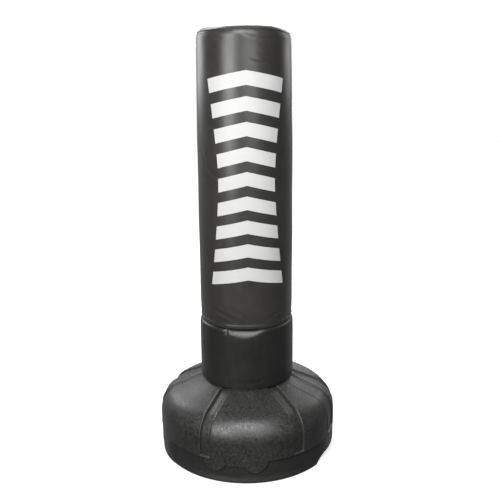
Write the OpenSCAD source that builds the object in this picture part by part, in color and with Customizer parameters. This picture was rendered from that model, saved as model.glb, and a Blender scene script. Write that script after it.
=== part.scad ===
// Free-standing training bag: a padded bag that drops over the neck post of a
// fillable round base, with a padded collar round the post between the two.
// Millimetres, +Z up, origin on the floor at the centre of the base. The front
// faces -Y, and a bearing is counted from the front towards +X.

/* [Base] */
// Radius of the base at its upright wall
base_r = 306; // [300:1:312]
// Height of the step where the upright wall ends above the skirt
step_z = 79; // [74:1:84]
// Height where the upright wall turns into the rounded shoulder
wall_top_z = 137; // [132:1:142]
// Radius of the rounded shoulder
shoulder_r = 80; // [70:1:84]
// Slope of the conical top, in degrees
cone_slope = 22.5; // [20:0.5:24]
// Thickness of the moulded wall
tank_wall = 5; // [4:0.5:6]
// Width of each moulded channel
channel_w = 39; // [30:1:44]
// Depth of each moulded channel
channel_deep = 6; // [3:0.5:7]
// Bearing of the first moulded channel, in degrees
channel_bearing = -26.5; // [-30:0.5:-20]
// Height that the tank is filled to
fill_z = 122; // [90:1:170]

/* [Neck post] */
// Outer radius of the post
post_r = 41.3; // [40:0.1:42]
// Wall of the post
post_wall = 2.5; // [2:0.5:3]
// Height of the top of the tube
post_top = 886; // [880:1:890]
// Number of height holes
hole_count = 7; // [3:1:7]
// Distance from one height hole to the next
hole_pitch = 89; // [80:1:89]
// Height of the hole that holds the peg
peg_z = 500; // [498:1:504]
// Radius of the height peg
peg_r = 6; // [5:0.5:7]

/* [Collar] */
// Outer radius of the collar
collar_r = 161; // [155:1:168]
// Height of the top of the collar
collar_top = 469.5; // [460:0.5:469.5]
// Radius of the hole through the collar
collar_hole_r = 62; // [61:1:70]

/* [Bag] */
// Height of the underside of the bag
bag_z = 470.3; // [470:0.1:472]
// Radius of the bag at its underside
bag_low_r = 156; // [150:1:160]
// Radius of the bag below its top seam
bag_high_r = 154; // [148:1:160]
// Height where the side ends and the top panel starts
bag_seam_z = 1386; // [1300:1:1400]
// Radius of the rounded top edge
bag_edge_r = 20; // [15:1:25]
// Height of the crown of the bag
crown_z = 1429; // [1424:1:1435]
// Thickness of the cover
cover_t = 1.6; // [1:0.1:2]
// Inner radius of the core tube
core_hole_r = 44.45; // [44:0.05:45]
// Wall of the core tube
core_wall = 4; // [3:0.5:4.5]

/* [Zip] */
// Height of the lower end of the zip
zip_low_z = 498; // [490:1:600]
// Height of the upper end of the zip
zip_high_z = 1372; // [1300:1:1376]
// Width of the zip tape
tape_w = 30; // [24:1:36]
// Width of the zip's coil
coil_w = 5; // [4:0.5:6]

/* [Filler] */
// Distance of the filler from the centre of the base
filler_r = 216; // [210:1:222]
// Radius of the filler hole
filler_hole_r = 24; // [20:1:26]
// Radius of the filler cap
cap_r = 32; // [30:1:33]

/* [Hidden] */

$fn = 96;
gap = 0.3;
fit_gap = 0.05;
seat_gap = 0.5;

// Base
foot_r = base_r - 3;
foot_h = 20;
foot_edge = 4;
skirt_r = base_r - 7;
under_r = base_r - 36;
under_h = 6;
step_h = 4;
shoulder_steps = 12;
shoulder_turn = 90 - cone_slope;
boss_r = 58;
boss_z = 300;
boss_deep = 20;
drain_r = 6;
well_r = post_r + fit_gap;
well_wall = 8;
well_floor = 24;
grip_w = 80;
grip_bearings = [71.5, 251.5];
lobe_r = 42;
lobe_bearings = [-20.5, 5];
lobe_web_z = 60;
foot_gap = [50, 88];
gap_rise = under_h + 1;
channel_step = 60;
channel_low_z = step_z + 3;
far = 2 * base_r;

// Post and retainer
boss_low = cone_z(boss_r) - boss_deep;
plug_h = 12;
retainer_h = 8;
retainer_r = boss_r - 1;
screw_count = 4;
screw_ring_r = (post_r + retainer_r) / 2 + 0.3;
screw_hole_r = 2.55;
screw_r = 2.5;
screw_long = 16;
screw_head_r = 4.6;
screw_head_h = 3;
hex_r = 2;
post_cap_h = 5;
peg_long = 96;
peg_ring_r = 8.5;
holes_below = 2;

// Collar
collar_foot_r = 10;
collar_foot_rise = 12;
collar_edge_r = 9;
closure_turn = 20;
closure_t = 1.6;
closure_rise = 26;
closure_drop = 18;

// Bag
core_r = core_hole_r + core_wall;
core_low = bag_z + 8;
core_top = bag_seam_z - 10;
foam_hole_r = core_r + gap;
plug_head_r = core_r + 6;
bush_h = 40;
bush_hole_r = post_r + 0.06;
dome_r = bag_high_r - bag_edge_r;
dome_steps = 6;
edge_steps = 10;
edge_turn = 75;
seam_step = 8;
seam_turn = edge_turn * seam_step / edge_steps;
welt_r = 1.6;
hem_rise = 14;
bag_hole_r = core_r + 2;

// Zip
tape_t = 0.9;
coil_t = 1.8;
coil_end = 12;
tape_half = asin(tape_w / 2 / bag_high_r);
coil_half = asin(coil_w / 2 / bag_high_r);
slider_w = 12;
slider_h = 15;
slider_t = 5.6;
slider_z = zip_high_z - 24;
lug_x = 2.8;
lug_t = 1.4;
lug_r = 2.4;
pin_r = 1.1;
pivot_rise = 2.9;
pin_gap = 0.06;
knuckle_r = 2.3;
neck_h = 9;
stop_h = 5;
pull_w = 9;
pull_h = 30;
pull_t = 1.8;
bag_lean = atan((bag_low_r - bag_high_r) / (bag_seam_z - bag_z));

face = tape_t + 0.5;
pivot = face + slider_t + pivot_rise;

// Filler
pocket_r = cap_r + 6;
pocket_deep = 6;
gasket_t = 2;
cap_h = 11;
plug_long = 11;
rib_count = 20;

// Height of the conical top at a radius
function cone_z(r) = wall_top_z + shoulder_r * sin(shoulder_turn)
    + (base_r - shoulder_r + shoulder_r * cos(shoulder_turn) - r) * tan(cone_slope);

// Radius of the bag's side at a height
function bag_r(z) = bag_low_r + (bag_high_r - bag_low_r) * (z - bag_z) / (bag_seam_z - bag_z);

// Rounded shoulder of the base, sunk by an inset
function shoulder(inset) = [for (i = [0:shoulder_steps])
    let (a = shoulder_turn * i / shoulder_steps)
    [base_r - shoulder_r + (shoulder_r - inset) * cos(a), wall_top_z + (shoulder_r - inset) * sin(a)]];

// Inset of the conical top, measured straight down
function cone_drop(inset) = inset / cos(cone_slope);

// Turns what follows to a bearing, with +X pointing outwards
module at_bearing(b) {
    rotate([0, 0, b - 90]) children();
}

// Filler's own frame: +Z leaves the tank square to its conical top, at the pocket's floor
module at_filler() {
    translate([0, filler_r, cone_z(filler_r)])
        rotate([-cone_slope, 0, 0])
            translate([0, 0, -pocket_deep]) children();
}

// Zip's own frame: +Z up along the bag's side at the back, +Y outwards
module at_zip(z) {
    translate([0, bag_r(z), z]) rotate([bag_lean, 0, 0]) children();
}

// Everything above a height and further out than the base's surface, sunk by an inset
module outside(low_z, inset) {
    rotate_extrude()
        polygon(concat([[far, low_z], [base_r - inset, low_z]],
            shoulder(inset),
            [[boss_r, cone_z(boss_r) - cone_drop(inset)], [boss_r, far], [far, far]]));
}

// One upright-sided channel over the shoulder at a bearing, grown by an inset
module channel(b, w, inset) {
    intersection() {
        at_bearing(b) translate([0, -w / 2 - inset, 0]) cube([far, w + 2 * inset, far]);
        outside(channel_low_z - inset, channel_deep + inset);
    }
}

// Outline of the tank's outside, from the hollow under it to the crown
function tank_outline() = concat([[0, under_h], [under_r, under_h], [under_r, 0], [foot_r - foot_edge, 0],
    [foot_r, foot_edge], [foot_r, foot_h], [skirt_r, foot_h + step_h], [skirt_r, step_z - step_h],
    [base_r, step_z]], shoulder(0), [[0, cone_z(0)]]);

// Outline of the tank sunk by an inset, with a flat floor
function hollow_outline(inset) = concat([[0, under_h + inset], [skirt_r - inset, under_h + inset],
    [skirt_r - inset, step_z - step_h + inset], [base_r - inset, step_z + inset]],
    shoulder(inset), [[0, cone_z(0) - cone_drop(inset)]]);

// The base's turned body with its channels, sunk by an inset
module tank_body(inset) {
    difference() {
        rotate_extrude() polygon(inset == 0 ? tank_outline() : hollow_outline(inset));
        for (i = [0:5]) channel(channel_bearing + i * channel_step, channel_w, inset);
        for (b = grip_bearings) channel(b, grip_w, inset);
    }
}

// Rounded lobes that hang from the wall over the skirt, joined by a short web
module lobes() {
    intersection() {
        rotate_extrude()
            polygon([[skirt_r - 1, foot_h + 6], [base_r - 0.4, foot_h + 6], [base_r - 0.4, step_z + 1],
                [skirt_r - 1, step_z + 1]]);
        union() {
            for (b = lobe_bearings)
                at_bearing(b) translate([0, 0, step_z]) rotate([0, 90, 0]) cylinder(r = lobe_r, h = far);
            at_bearing((lobe_bearings[0] + lobe_bearings[1]) / 2)
                translate([0, -lobe_r * 2, lobe_web_z]) cube([far, lobe_r * 4, step_z]);
        }
    }
}

// Two gaps in the rim of the foot, where the underside can be got hold of
module foot_gaps() {
    for (turn = [0, 180])
        rotate([0, 0, turn + foot_gap[0] - 90]) rotate_extrude(angle = foot_gap[1] - foot_gap[0])
            polygon([[under_r - 2, -1], [far, -1], [far, foot_h + step_h], [skirt_r, foot_h + step_h],
                [skirt_r, gap_rise], [under_r - 2, gap_rise]]);
}

// Turns what follows to each of the retainer's screws
module at_screws() {
    for (i = [1:screw_count])
        rotate([0, 0, i * 360 / screw_count + 45]) translate([screw_ring_r, 0, boss_z]) children();
}

// The hollow of the tank, less the post's well, the boss and the filler's pocket
module tank_hollow() {
    difference() {
        tank_body(tank_wall);
        cylinder(r = well_r + well_wall, h = far);
        translate([0, 0, boss_low]) cylinder(r = boss_r, h = far);
        at_filler() translate([0, 0, -tank_wall]) cylinder(r = pocket_r + tank_wall, h = far);
    }
}

module base_tank() {
    color([0.2, 0.2, 0.2]) difference() {
        union() {
            tank_body(0);
            translate([0, 0, boss_low]) cylinder(r = boss_r, h = boss_z - boss_low);
            lobes();
            rotate([0, 0, 180]) lobes();
        }
        tank_hollow();
        foot_gaps();
        translate([0, 0, boss_z]) cylinder(r = boss_r, h = far);
        translate([0, 0, well_floor]) cylinder(r = well_r, h = far);
        cylinder(r = drain_r, h = far);
        at_filler() cylinder(r = pocket_r, h = far);
        at_filler() translate([0, 0, -2 * tank_wall]) cylinder(r = filler_hole_r, h = far);
        at_screws() translate([0, 0, -screw_long]) cylinder(r = screw_hole_r, h = screw_long + 1);
    }
}

module ballast_fill() {
    color([0.76, 0.68, 0.5]) difference() {
        tank_body(tank_wall + gap);
        cylinder(r = well_r + well_wall + gap, h = far);
        translate([0, 0, fill_z]) cylinder(r = far, h = far);
    }
}

module filler_cap() {
    color([0.16, 0.16, 0.16]) at_filler() difference() {
        union() {
            translate([0, 0, gasket_t + 0.1]) cylinder(r = cap_r - 1.5, h = cap_h);
            translate([0, 0, -plug_long]) cylinder(r = filler_hole_r - 0.5, h = plug_long + gasket_t + 1);
            for (i = [1:rib_count])
                rotate([0, 0, i * 360 / rib_count])
                    translate([cap_r - 2, 0, gasket_t + 0.1]) cylinder(r = 1.8, h = cap_h - 2);
        }
        translate([0, 0, cap_h - 3]) difference() {
            cylinder(r = cap_r - 6, h = 10);
            translate([-far / 2, -4.5, -1]) cube([far, 9, 12]);
        }
        translate([0, 0, -plug_long - 1]) cylinder(r = filler_hole_r - 4, h = plug_long);
    }
}

module filler_gasket() {
    color([0.1, 0.1, 0.1]) at_filler() translate([0, 0, 0.05]) difference() {
        cylinder(r = cap_r - 2, h = gasket_t);
        translate([0, 0, -1]) cylinder(r = filler_hole_r + 0.3, h = gasket_t + 2);
    }
}

module neck_post() {
    color([0.25, 0.25, 0.26]) difference() {
        translate([0, 0, well_floor + plug_h]) cylinder(r = post_r, h = post_top - well_floor - plug_h);
        cylinder(r = post_r - post_wall, h = far * 2);
        for (i = [0:hole_count - 1])
            translate([-far / 2, 0, peg_z + (i - holes_below) * hole_pitch])
                rotate([0, 90, 0]) cylinder(r = peg_r + fit_gap, h = far);
    }
}

module post_foot_plug() {
    color([0.12, 0.12, 0.12]) union() {
        translate([0, 0, well_floor]) cylinder(r = post_r, h = plug_h);
        translate([0, 0, well_floor + plug_h]) cylinder(r = post_r - post_wall, h = 25);
    }
}

module post_retainer() {
    color([0.14, 0.14, 0.14]) difference() {
        translate([0, 0, boss_z]) cylinder(r = retainer_r, h = retainer_h);
        cylinder(r = well_r, h = far);
        at_screws() translate([0, 0, -1]) cylinder(r = screw_hole_r, h = retainer_h + 2);
    }
}

module retainer_screws() {
    color([0.7, 0.7, 0.72]) at_screws() difference() {
        union() {
            translate([0, 0, 1 - screw_long]) cylinder(r = screw_r, h = screw_long + retainer_h);
            translate([0, 0, retainer_h]) cylinder(r = screw_head_r, h = screw_head_h);
        }
        translate([0, 0, retainer_h + 1]) cylinder(r = hex_r, h = screw_head_h, $fn = 6);
    }
}

module post_cap() {
    color([0.12, 0.12, 0.12]) difference() {
        union() {
            translate([0, 0, post_top - 14]) cylinder(r = post_r - post_wall, h = 14);
            translate([0, 0, post_top]) cylinder(r = post_r, h = post_cap_h);
        }
        translate([0, 0, post_top - 20]) cylinder(r = post_r - post_wall - 3, h = 20);
    }
}

module height_peg() {
    color([0.72, 0.72, 0.74]) translate([-peg_long / 2, 0, peg_z]) rotate([0, 90, 0]) difference() {
        cylinder(r = peg_r, h = peg_long);
        for (x = [peg_long / 2 - 20])
            translate([0, 0, x]) difference() {
                cylinder(r = peg_r + 1, h = 2.4);
                translate([0, 0, -1]) cylinder(r = peg_r - 0.8, h = 5);
            }
    }
}

module peg_ring() {
    color([0.08, 0.08, 0.08]) translate([-20, 0, peg_z]) rotate([0, 90, 0]) difference() {
        translate([0, 0, 0.1]) cylinder(r = peg_ring_r, h = 2.2);
        translate([0, 0, -1]) cylinder(r = peg_r - 0.7, h = 5);
    }
}

// Section of the collar, sunk by an inset: a ring whose foot lies on the base's cone
module collar_section(inset) {
    low = seat_gap + cone_drop(inset);
    inner = collar_hole_r + inset;
    foot_x = collar_r - collar_foot_r;
    foot_z = cone_z(collar_r) + collar_foot_rise;
    edge_x = collar_r - collar_edge_r;
    edge_z = collar_top - collar_edge_r;
    polygon(concat([[inner, cone_z(inner) + low], [foot_x, cone_z(foot_x) + low]],
        [for (a = [-60:15:0]) [foot_x + (collar_foot_r - inset) * cos(a),
            foot_z + (collar_foot_r - inset) * sin(a)]],
        [for (a = [0:15:90]) [edge_x + (collar_edge_r - inset) * cos(a),
            edge_z + (collar_edge_r - inset) * sin(a)]],
        [[inner, collar_top - inset]]));
}

module collar_foam() {
    color([0.3, 0.3, 0.3]) rotate_extrude() collar_section(cover_t + seat_gap);
}

module collar_cover() {
    color([0.22, 0.22, 0.21]) rotate_extrude() difference() {
        collar_section(0);
        collar_section(cover_t);
    }
}

module collar_closure() {
    low = cone_z(collar_r) + closure_rise;
    color([0.1, 0.1, 0.1]) rotate([0, 0, 90 - closure_turn / 2]) translate([0, 0, low])
        rotate_extrude(angle = closure_turn)
            translate([collar_r + fit_gap, 0]) square([closure_t, collar_top - closure_drop - low]);
}

module core_tube() {
    color([0.45, 0.4, 0.33]) difference() {
        translate([0, 0, core_low]) cylinder(r = core_r, h = core_top - core_low);
        cylinder(r = core_hole_r, h = far * 3);
        translate([-far / 2, 0, peg_z]) rotate([0, 90, 0]) cylinder(r = peg_r + fit_gap, h = far);
        translate([-far / 2, -peg_r - 0.05, core_low - 1]) cube([far, 2 * peg_r + 0.1, peg_z - core_low + 1]);
    }
}

module core_top_plug() {
    color([0.12, 0.12, 0.12]) union() {
        translate([0, 0, core_top - 30]) cylinder(r = core_hole_r, h = 30);
        translate([0, 0, core_top]) cylinder(r = plug_head_r, h = 6);
    }
}

// Guide ring inside the core tube
module guide_bush(z) {
    translate([0, 0, z]) difference() {
        cylinder(r = core_hole_r, h = bush_h);
        translate([0, 0, -1]) cylinder(r = bush_hole_r, h = bush_h + 2);
    }
}

module lower_bush() {
    color([0.85, 0.85, 0.82]) guide_bush(peg_z + 20);
}

module upper_bush() {
    color([0.85, 0.85, 0.82]) guide_bush(post_top - bush_h - 20);
}

// A point on the bag's rounded top edge, at an angle above level, sunk by an inset
function edge_point(a, inset) = let (r = bag_edge_r - inset) [dome_r + r * cos(a), bag_seam_z + r * sin(a)];

// Rounded top edge of the bag between two of its steps, sunk by an inset
function edge(first, last, inset) = [for (i = [first:last]) edge_point(edge_turn * i / edge_steps, inset)];

// The same edge, listed from its later step back to its earlier one
function edge_back(last, first, inset) =
    [for (i = [last:-1:first]) edge_point(edge_turn * i / edge_steps, inset)];

// Low dome inside the rounded edge, sunk by an inset
function dome(inset) = let (start = edge_point(edge_turn, inset))
    [for (i = [1:dome_steps]) let (t = i / dome_steps)
        [start[0] * (1 - t), start[1] + (crown_z - inset - start[1]) * (1 - (1 - t) * (1 - t))]];

module bag_foam() {
    sunk = cover_t + seat_gap;
    low = bag_z + sunk;
    plug_r = plug_head_r + gap;
    color([0.35, 0.35, 0.34]) rotate_extrude()
        polygon([[foam_hole_r, low], [bag_low_r - sunk, low], [bag_high_r - sunk, bag_seam_z],
            [plug_r, bag_seam_z], [plug_r, core_top - gap], [foam_hole_r, core_top - gap]]);
}

module crown_pad() {
    sunk = cover_t + seat_gap;
    color([0.4, 0.4, 0.38]) rotate_extrude()
        polygon(concat([[0, bag_seam_z + gap], [bag_high_r - sunk - gap, bag_seam_z + gap]],
            edge(1, edge_steps, sunk), dome(sunk)));
}

module cover_side() {
    color([0.24, 0.24, 0.23]) rotate_extrude()
        polygon(concat([[bag_low_r - cover_t, bag_z], [bag_low_r, bag_z]], edge(0, seam_step, 0),
            edge_back(seam_step, 0, cover_t)));
}

module cover_top() {
    color([0.24, 0.24, 0.23]) rotate_extrude()
        polygon(concat(edge(seam_step, edge_steps, 0), dome(0), [[0, crown_z - cover_t]],
            [for (i = [dome_steps - 2:-1:0]) dome(cover_t)[i]],
            edge_back(edge_steps, seam_step, cover_t)));
}

module cover_bottom() {
    color([0.15, 0.15, 0.15]) translate([0, 0, bag_z]) difference() {
        cylinder(r = bag_low_r - cover_t - fit_gap, h = cover_t);
        translate([0, 0, -1]) cylinder(r = bag_hole_r, h = cover_t + 2);
    }
}

// Half-round welt that stands out of the cover at a point, leaning by an angle
module welt(r, z, lean) {
    rotate_extrude() translate([r, z]) rotate(lean)
        polygon([for (a = [-90:15:90]) [0.04 + welt_r * cos(a), welt_r * sin(a)]]);
}

module top_welt() {
    seam = edge_point(seam_turn, 0);
    color([0.18, 0.18, 0.18]) welt(seam[0], seam[1], seam_turn);
}

module bottom_welt() {
    color([0.18, 0.18, 0.18]) welt(bag_r(bag_z + hem_rise), bag_z + hem_rise, 0);
}

// Strip that follows the bag's side at the back, between two heights
module side_strip(z0, z1, half, stand, thick) {
    rotate([0, 0, 90 - half]) rotate_extrude(angle = 2 * half)
        polygon([[bag_r(z0) + stand, z0], [bag_r(z0) + stand + thick, z0],
            [bag_r(z1) + stand + thick, z1], [bag_r(z1) + stand, z1]]);
}

module zip_tape() {
    color([0.08, 0.08, 0.08]) side_strip(zip_low_z, zip_high_z, tape_half, fit_gap, tape_t);
}

module zip_coil() {
    color([0.13, 0.13, 0.13])
        side_strip(zip_low_z + coil_end, zip_high_z - coil_end, coil_half, fit_gap + tape_t, coil_t);
}

module zip_slider() {
    color([0.6, 0.6, 0.62]) at_zip(slider_z) difference() {
        union() {
            translate([-slider_w / 2, face, -slider_h / 2]) cube([slider_w, slider_t, slider_h]);
            for (x = [-lug_x, lug_x]) {
                translate([x, pivot, 0]) rotate([0, 90, 0]) cylinder(r = lug_r, h = lug_t, center = true);
                translate([x - lug_t / 2, face + slider_t - 1, -lug_r])
                    cube([lug_t, pivot_rise + 1, 2 * lug_r]);
            }
            translate([0, pivot, 0]) rotate([0, 90, 0]) cylinder(r = pin_r, h = 2 * lug_x, center = true);
        }
        translate([-coil_w / 2 - 0.5, -1, -slider_h]) cube([coil_w + 1, coil_t + 2.2, 2 * slider_h]);
    }
}

module zip_pull() {
    neck_w = 2 * lug_x - lug_t - 2 * gap;
    color([0.66, 0.66, 0.68]) at_zip(slider_z) translate([0, pivot, 0]) difference() {
        union() {
            rotate([0, 90, 0]) cylinder(r = knuckle_r, h = neck_w, center = true);
            translate([-neck_w / 2, -pull_t / 2, -neck_h]) cube([neck_w, pull_t, neck_h]);
            translate([-pull_w / 2, -pull_t / 2, -pull_h]) cube([pull_w, pull_t, pull_h - neck_h + 1]);
        }
        rotate([0, 90, 0]) cylinder(r = pin_r + pin_gap, h = 4 * lug_x, center = true);
        translate([0, 0, pull_w / 2 + 2.5 - pull_h]) rotate([90, 0, 0])
            cylinder(r = pull_w / 4, h = 10, center = true);
    }
}

// Stop clamped across the coil's end, with its middle at a height
module zip_stop(z) {
    at_zip(z) translate([-coil_w / 2 - 1, tape_t + fit_gap, -stop_h / 2])
        cube([coil_w + 2, coil_t + 0.6, stop_h]);
}

module zip_top_stop() {
    color([0.6, 0.6, 0.62]) zip_stop(zip_high_z - 6);
}

module zip_bottom_stop() {
    color([0.6, 0.6, 0.62]) zip_stop(zip_low_z + 6);
}

base_tank();
ballast_fill();
filler_cap();
filler_gasket();
neck_post();
post_foot_plug();
post_retainer();
retainer_screws();
post_cap();
height_peg();
peg_ring();
collar_foam();
collar_cover();
collar_closure();
core_tube();
core_top_plug();
lower_bush();
upper_bush();
bag_foam();
crown_pad();
cover_side();
cover_top();
cover_bottom();
top_welt();
bottom_welt();
zip_tape();
zip_coil();
zip_slider();
zip_pull();
zip_top_stop();
zip_bottom_stop();
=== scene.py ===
"""Looks of a free-standing training bag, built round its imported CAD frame.

Metres, +Z up. A bearing is counted from the front (-Y) towards +X, in degrees
where a name says so and in radians inside the array functions.
"""

from math import asin, cos, degrees, dist, pi, radians, sin, sqrt, tan

import bpy
import numpy as np
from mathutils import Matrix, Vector


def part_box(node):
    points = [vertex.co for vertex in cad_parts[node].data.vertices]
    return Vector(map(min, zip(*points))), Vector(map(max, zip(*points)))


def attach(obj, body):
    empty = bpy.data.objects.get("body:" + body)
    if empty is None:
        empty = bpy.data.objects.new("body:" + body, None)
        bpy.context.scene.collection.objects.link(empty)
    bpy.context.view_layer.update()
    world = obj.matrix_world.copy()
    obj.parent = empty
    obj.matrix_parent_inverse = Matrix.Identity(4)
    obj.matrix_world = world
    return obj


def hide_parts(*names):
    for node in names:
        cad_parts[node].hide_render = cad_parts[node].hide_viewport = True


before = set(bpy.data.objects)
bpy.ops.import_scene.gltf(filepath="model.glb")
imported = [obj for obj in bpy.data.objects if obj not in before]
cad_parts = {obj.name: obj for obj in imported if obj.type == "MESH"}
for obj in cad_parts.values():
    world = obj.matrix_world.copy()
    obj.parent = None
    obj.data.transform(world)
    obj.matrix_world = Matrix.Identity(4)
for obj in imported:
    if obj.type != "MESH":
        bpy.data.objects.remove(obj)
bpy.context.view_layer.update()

# --- Sizes of the frame ---
MM = 0.001
BASE_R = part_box("base_tank")[1].x
STEP_Z = 79 * MM
WALL_TOP_Z = 137 * MM
SHOULDER_R = 80 * MM
CONE_SLOPE = radians(22.5)
FOOT_H = 20 * MM
FOOT_R = BASE_R - 3 * MM
SKIRT_R = BASE_R - 7 * MM
UNDER_R = BASE_R - 36 * MM
UNDER_Z = 6 * MM
BOSS_R = 58 * MM
BOSS_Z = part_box("base_tank")[1].z
BOSS_LOW_Z = 273.2 * MM
WELL_R = 41.35 * MM
WELL_Z = 24 * MM
DRAIN_R = 6 * MM
TANK_WALL = 5 * MM
CHANNEL_LOW_Z = 80 * MM
CHANNEL_DEEP = 6 * MM
CHANNEL_SHALLOW = 3.6 * MM
CHANNEL_HALF = 19.5 * MM
GRIP_HALF = 40 * MM
# Inside this radius the channels narrow towards the middle
CHANNEL_NEAR_R = 168 * MM
# Bearing, half width, which side is the crisp, deep one (-1, +1 or 0 for both), and how much of the
# soft side's depth is left above the shoulder
CHANNELS = [
    (turn + bearing, half, crisp, above)
    for turn in (0, 180)
    for bearing, half, crisp, above in (
        (-26.5, CHANNEL_HALF, -1, 0.2),
        (33.5, CHANNEL_HALF, 1, 0.8),
        (71.5, GRIP_HALF, 0, 1.0),
        (93.5, CHANNEL_HALF, 0, 1.0),
    )
]
LOBE_R = 42 * MM
LOBE_BEARINGS = (-20.5, 5.0)
LOBE_WEB_Z = 60 * MM
LOBE_PROUD_R = BASE_R - 0.4 * MM
# How far the blown cone stands out over its plain slope, and the scar of the mould's gate at the front
CONE_SWELL = 3.6 * MM
GATE_PROUD = 2.2 * MM
# Bearing and height of the foot rim's raised stretch, which comes twice round the base
FOOT_GAP = [(50.5, 0), (52, 8), (55, 14), (59, 18), (66, 21), (72, 22), (79, 22), (82, 10), (84, 0)]
# Bearings between which the recess under the step runs out at the sides
RECESS_END = (48.0, 62.0)
FILLER_Y = 216 * MM
FILLER_HOLE_R = 24 * MM
POCKET_R = 38 * MM
POCKET_DEEP = 6 * MM

COLLAR_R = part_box("collar_cover")[1].x
COLLAR_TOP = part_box("collar_cover")[1].z
COLLAR_HOLE_R = 62 * MM
COVER_T = 1.6 * MM

BAG_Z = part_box("cover_side")[0].z
BAG_LOW_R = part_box("cover_side")[1].x
BAG_HIGH_R = 154 * MM
BAG_SEAM_Z = 1386 * MM
CROWN_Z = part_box("cover_top")[1].z
HEM_Z = 0.5 * (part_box("bottom_welt")[0].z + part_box("bottom_welt")[1].z)
TOP_SEAM_R, TOP_SEAM_Z = 146 * MM, 1412.4 * MM
WELT_R = 1.6 * MM
ZIP_LOW_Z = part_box("zip_tape")[0].z
ZIP_HIGH_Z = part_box("zip_tape")[1].z
ZIP_HALF_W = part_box("zip_tape")[1].x
TEETH_LOW_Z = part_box("zip_coil")[0].z
TEETH_HIGH_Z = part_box("zip_coil")[1].z


# --- Array helpers ---
def smooth(t):
    """0 to 1 with level ends, for t from 0 to 1 and clamped outside."""
    t = np.clip(t, 0.0, 1.0)
    return t * t * (3 - 2 * t)


def bell(x, width):
    """1 where x is 0, falling smoothly to 0 on both sides."""
    return np.exp(-((x / width) ** 2))


def wrapped(angle):
    """An angle in radians, brought within half a turn of 0."""
    return (angle + pi) % (2 * pi) - pi


def around(az, r, z):
    """Points at bearing az (radians), radius r and height z."""
    az, r, z = np.broadcast_arrays(az, r, z)
    return np.stack([r * np.sin(az), -r * np.cos(az), z], -1)


def turns(count):
    """Evenly spaced bearings round a full turn."""
    return np.linspace(0, 2 * pi, count, endpoint=False)


def ripple(az, z, seed, waves=7, lowest=2, tallest=9.0):
    """Smooth seamless unevenness between about -1 and 1 over bearing and height."""
    rng = np.random.default_rng(seed)
    total = 0.0
    for k in range(waves):
        count = lowest + k % 5
        pitch = rng.uniform(-tallest, tallest)
        total = total + np.sin(count * az + pitch * z + rng.uniform(0, 2 * pi))
    return total / sqrt(waves) / 1.5


def crease(az, z, radius, path, width, depth):
    """Fold along a path of (degrees, mm) points on a round side: a dip between two low ridges."""
    side = wrapped(az)
    points = [(radians(a) * radius, h * MM) for a, h in path]
    lengths = [dist(p, q) for p, q in zip(points, points[1:])]
    nearest = np.full(np.broadcast(az, z).shape, 1e9)
    share = np.zeros_like(nearest)
    done = 0.0
    for (p, q), length in zip(zip(points, points[1:]), lengths):
        du, dz = (q[0] - p[0]) / length, (q[1] - p[1]) / length
        u, h = side * radius - p[0], z - p[1]
        along = np.clip(u * du + h * dz, 0, length)
        away = np.hypot(u - along * du, h - along * dz)
        closer = away < nearest
        nearest = np.where(closer, away, nearest)
        share = np.where(closer, (done + along) / sum(lengths), share)
        done += length
    fade = np.sin(pi * np.clip(share, 0.0, 1.0)) ** 0.6
    return depth * fade * (0.45 * bell(nearest - 1.9 * width, width) - bell(nearest, width))


# --- Mesh helpers ---
def shell(points, loop=False, first_pole=False, last_pole=False, hollow=False):
    """Vertices and faces of a closed skin: rows of points, each row a ring.

    A loop joins the last row to the first, a pole row becomes one point, and a
    hollow skin faces its inside."""
    rows, cols = points.shape[:2]
    ids = np.arange(rows * cols).reshape(rows, cols)
    if first_pole:
        ids[0] = ids[0, 0]
    if last_pole:
        ids[-1] = ids[-1, 0]
    low, high = (ids, np.roll(ids, -1, 0)) if loop else (ids[:-1], ids[1:])
    quads = np.stack([low, np.roll(low, -1, 1), np.roll(high, -1, 1), high], -1)
    quads = quads.reshape(-1, 4)
    flat = points.reshape(-1, 3)
    a, b, c, d = (flat[quads[:, k]] for k in range(4))
    volume = np.einsum("ij,ij->", a, np.cross(b, c)) + np.einsum("ij,ij->", a, np.cross(c, d))
    if (volume < 0) != hollow:
        quads = quads[:, ::-1]
    used, compact = np.unique(quads, return_inverse=True)
    compact = compact.reshape(quads.shape)
    faces = [tuple(dict.fromkeys(face)) for face in compact.tolist()]
    return flat[used], faces


def strip_shell(top, under):
    """Closed skin between two patches with the same rows and columns."""
    rows, cols = top.shape[:2]
    count = rows * cols
    ids = np.arange(count).reshape(rows, cols)
    a, b, c, d = ids[:-1, :-1], ids[:-1, 1:], ids[1:, 1:], ids[1:, :-1]
    upper = np.stack([a, b, c, d], -1).reshape(-1, 4)
    rim = np.concatenate([ids[0, :-1], ids[:-1, -1], ids[-1, :0:-1], ids[:0:-1, 0]])
    after = np.roll(rim, -1)
    walls = np.stack([after, rim, rim + count, after + count], -1)
    faces = np.concatenate([upper, upper[:, ::-1] + count, walls])
    points = np.concatenate([top.reshape(-1, 3), under.reshape(-1, 3)])
    p, q, s, t = (points[faces[:, k]] for k in range(4))
    if np.einsum("ij,ij->", p, np.cross(q, s)) + np.einsum("ij,ij->", p, np.cross(s, t)) < 0:
        faces = faces[:, ::-1]
    return points, [tuple(face) for face in faces.tolist()]


def put(name, data):
    """A new object in the scene."""
    made = bpy.data.objects.new(name, data)
    bpy.context.scene.collection.objects.link(made)
    return made


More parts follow.
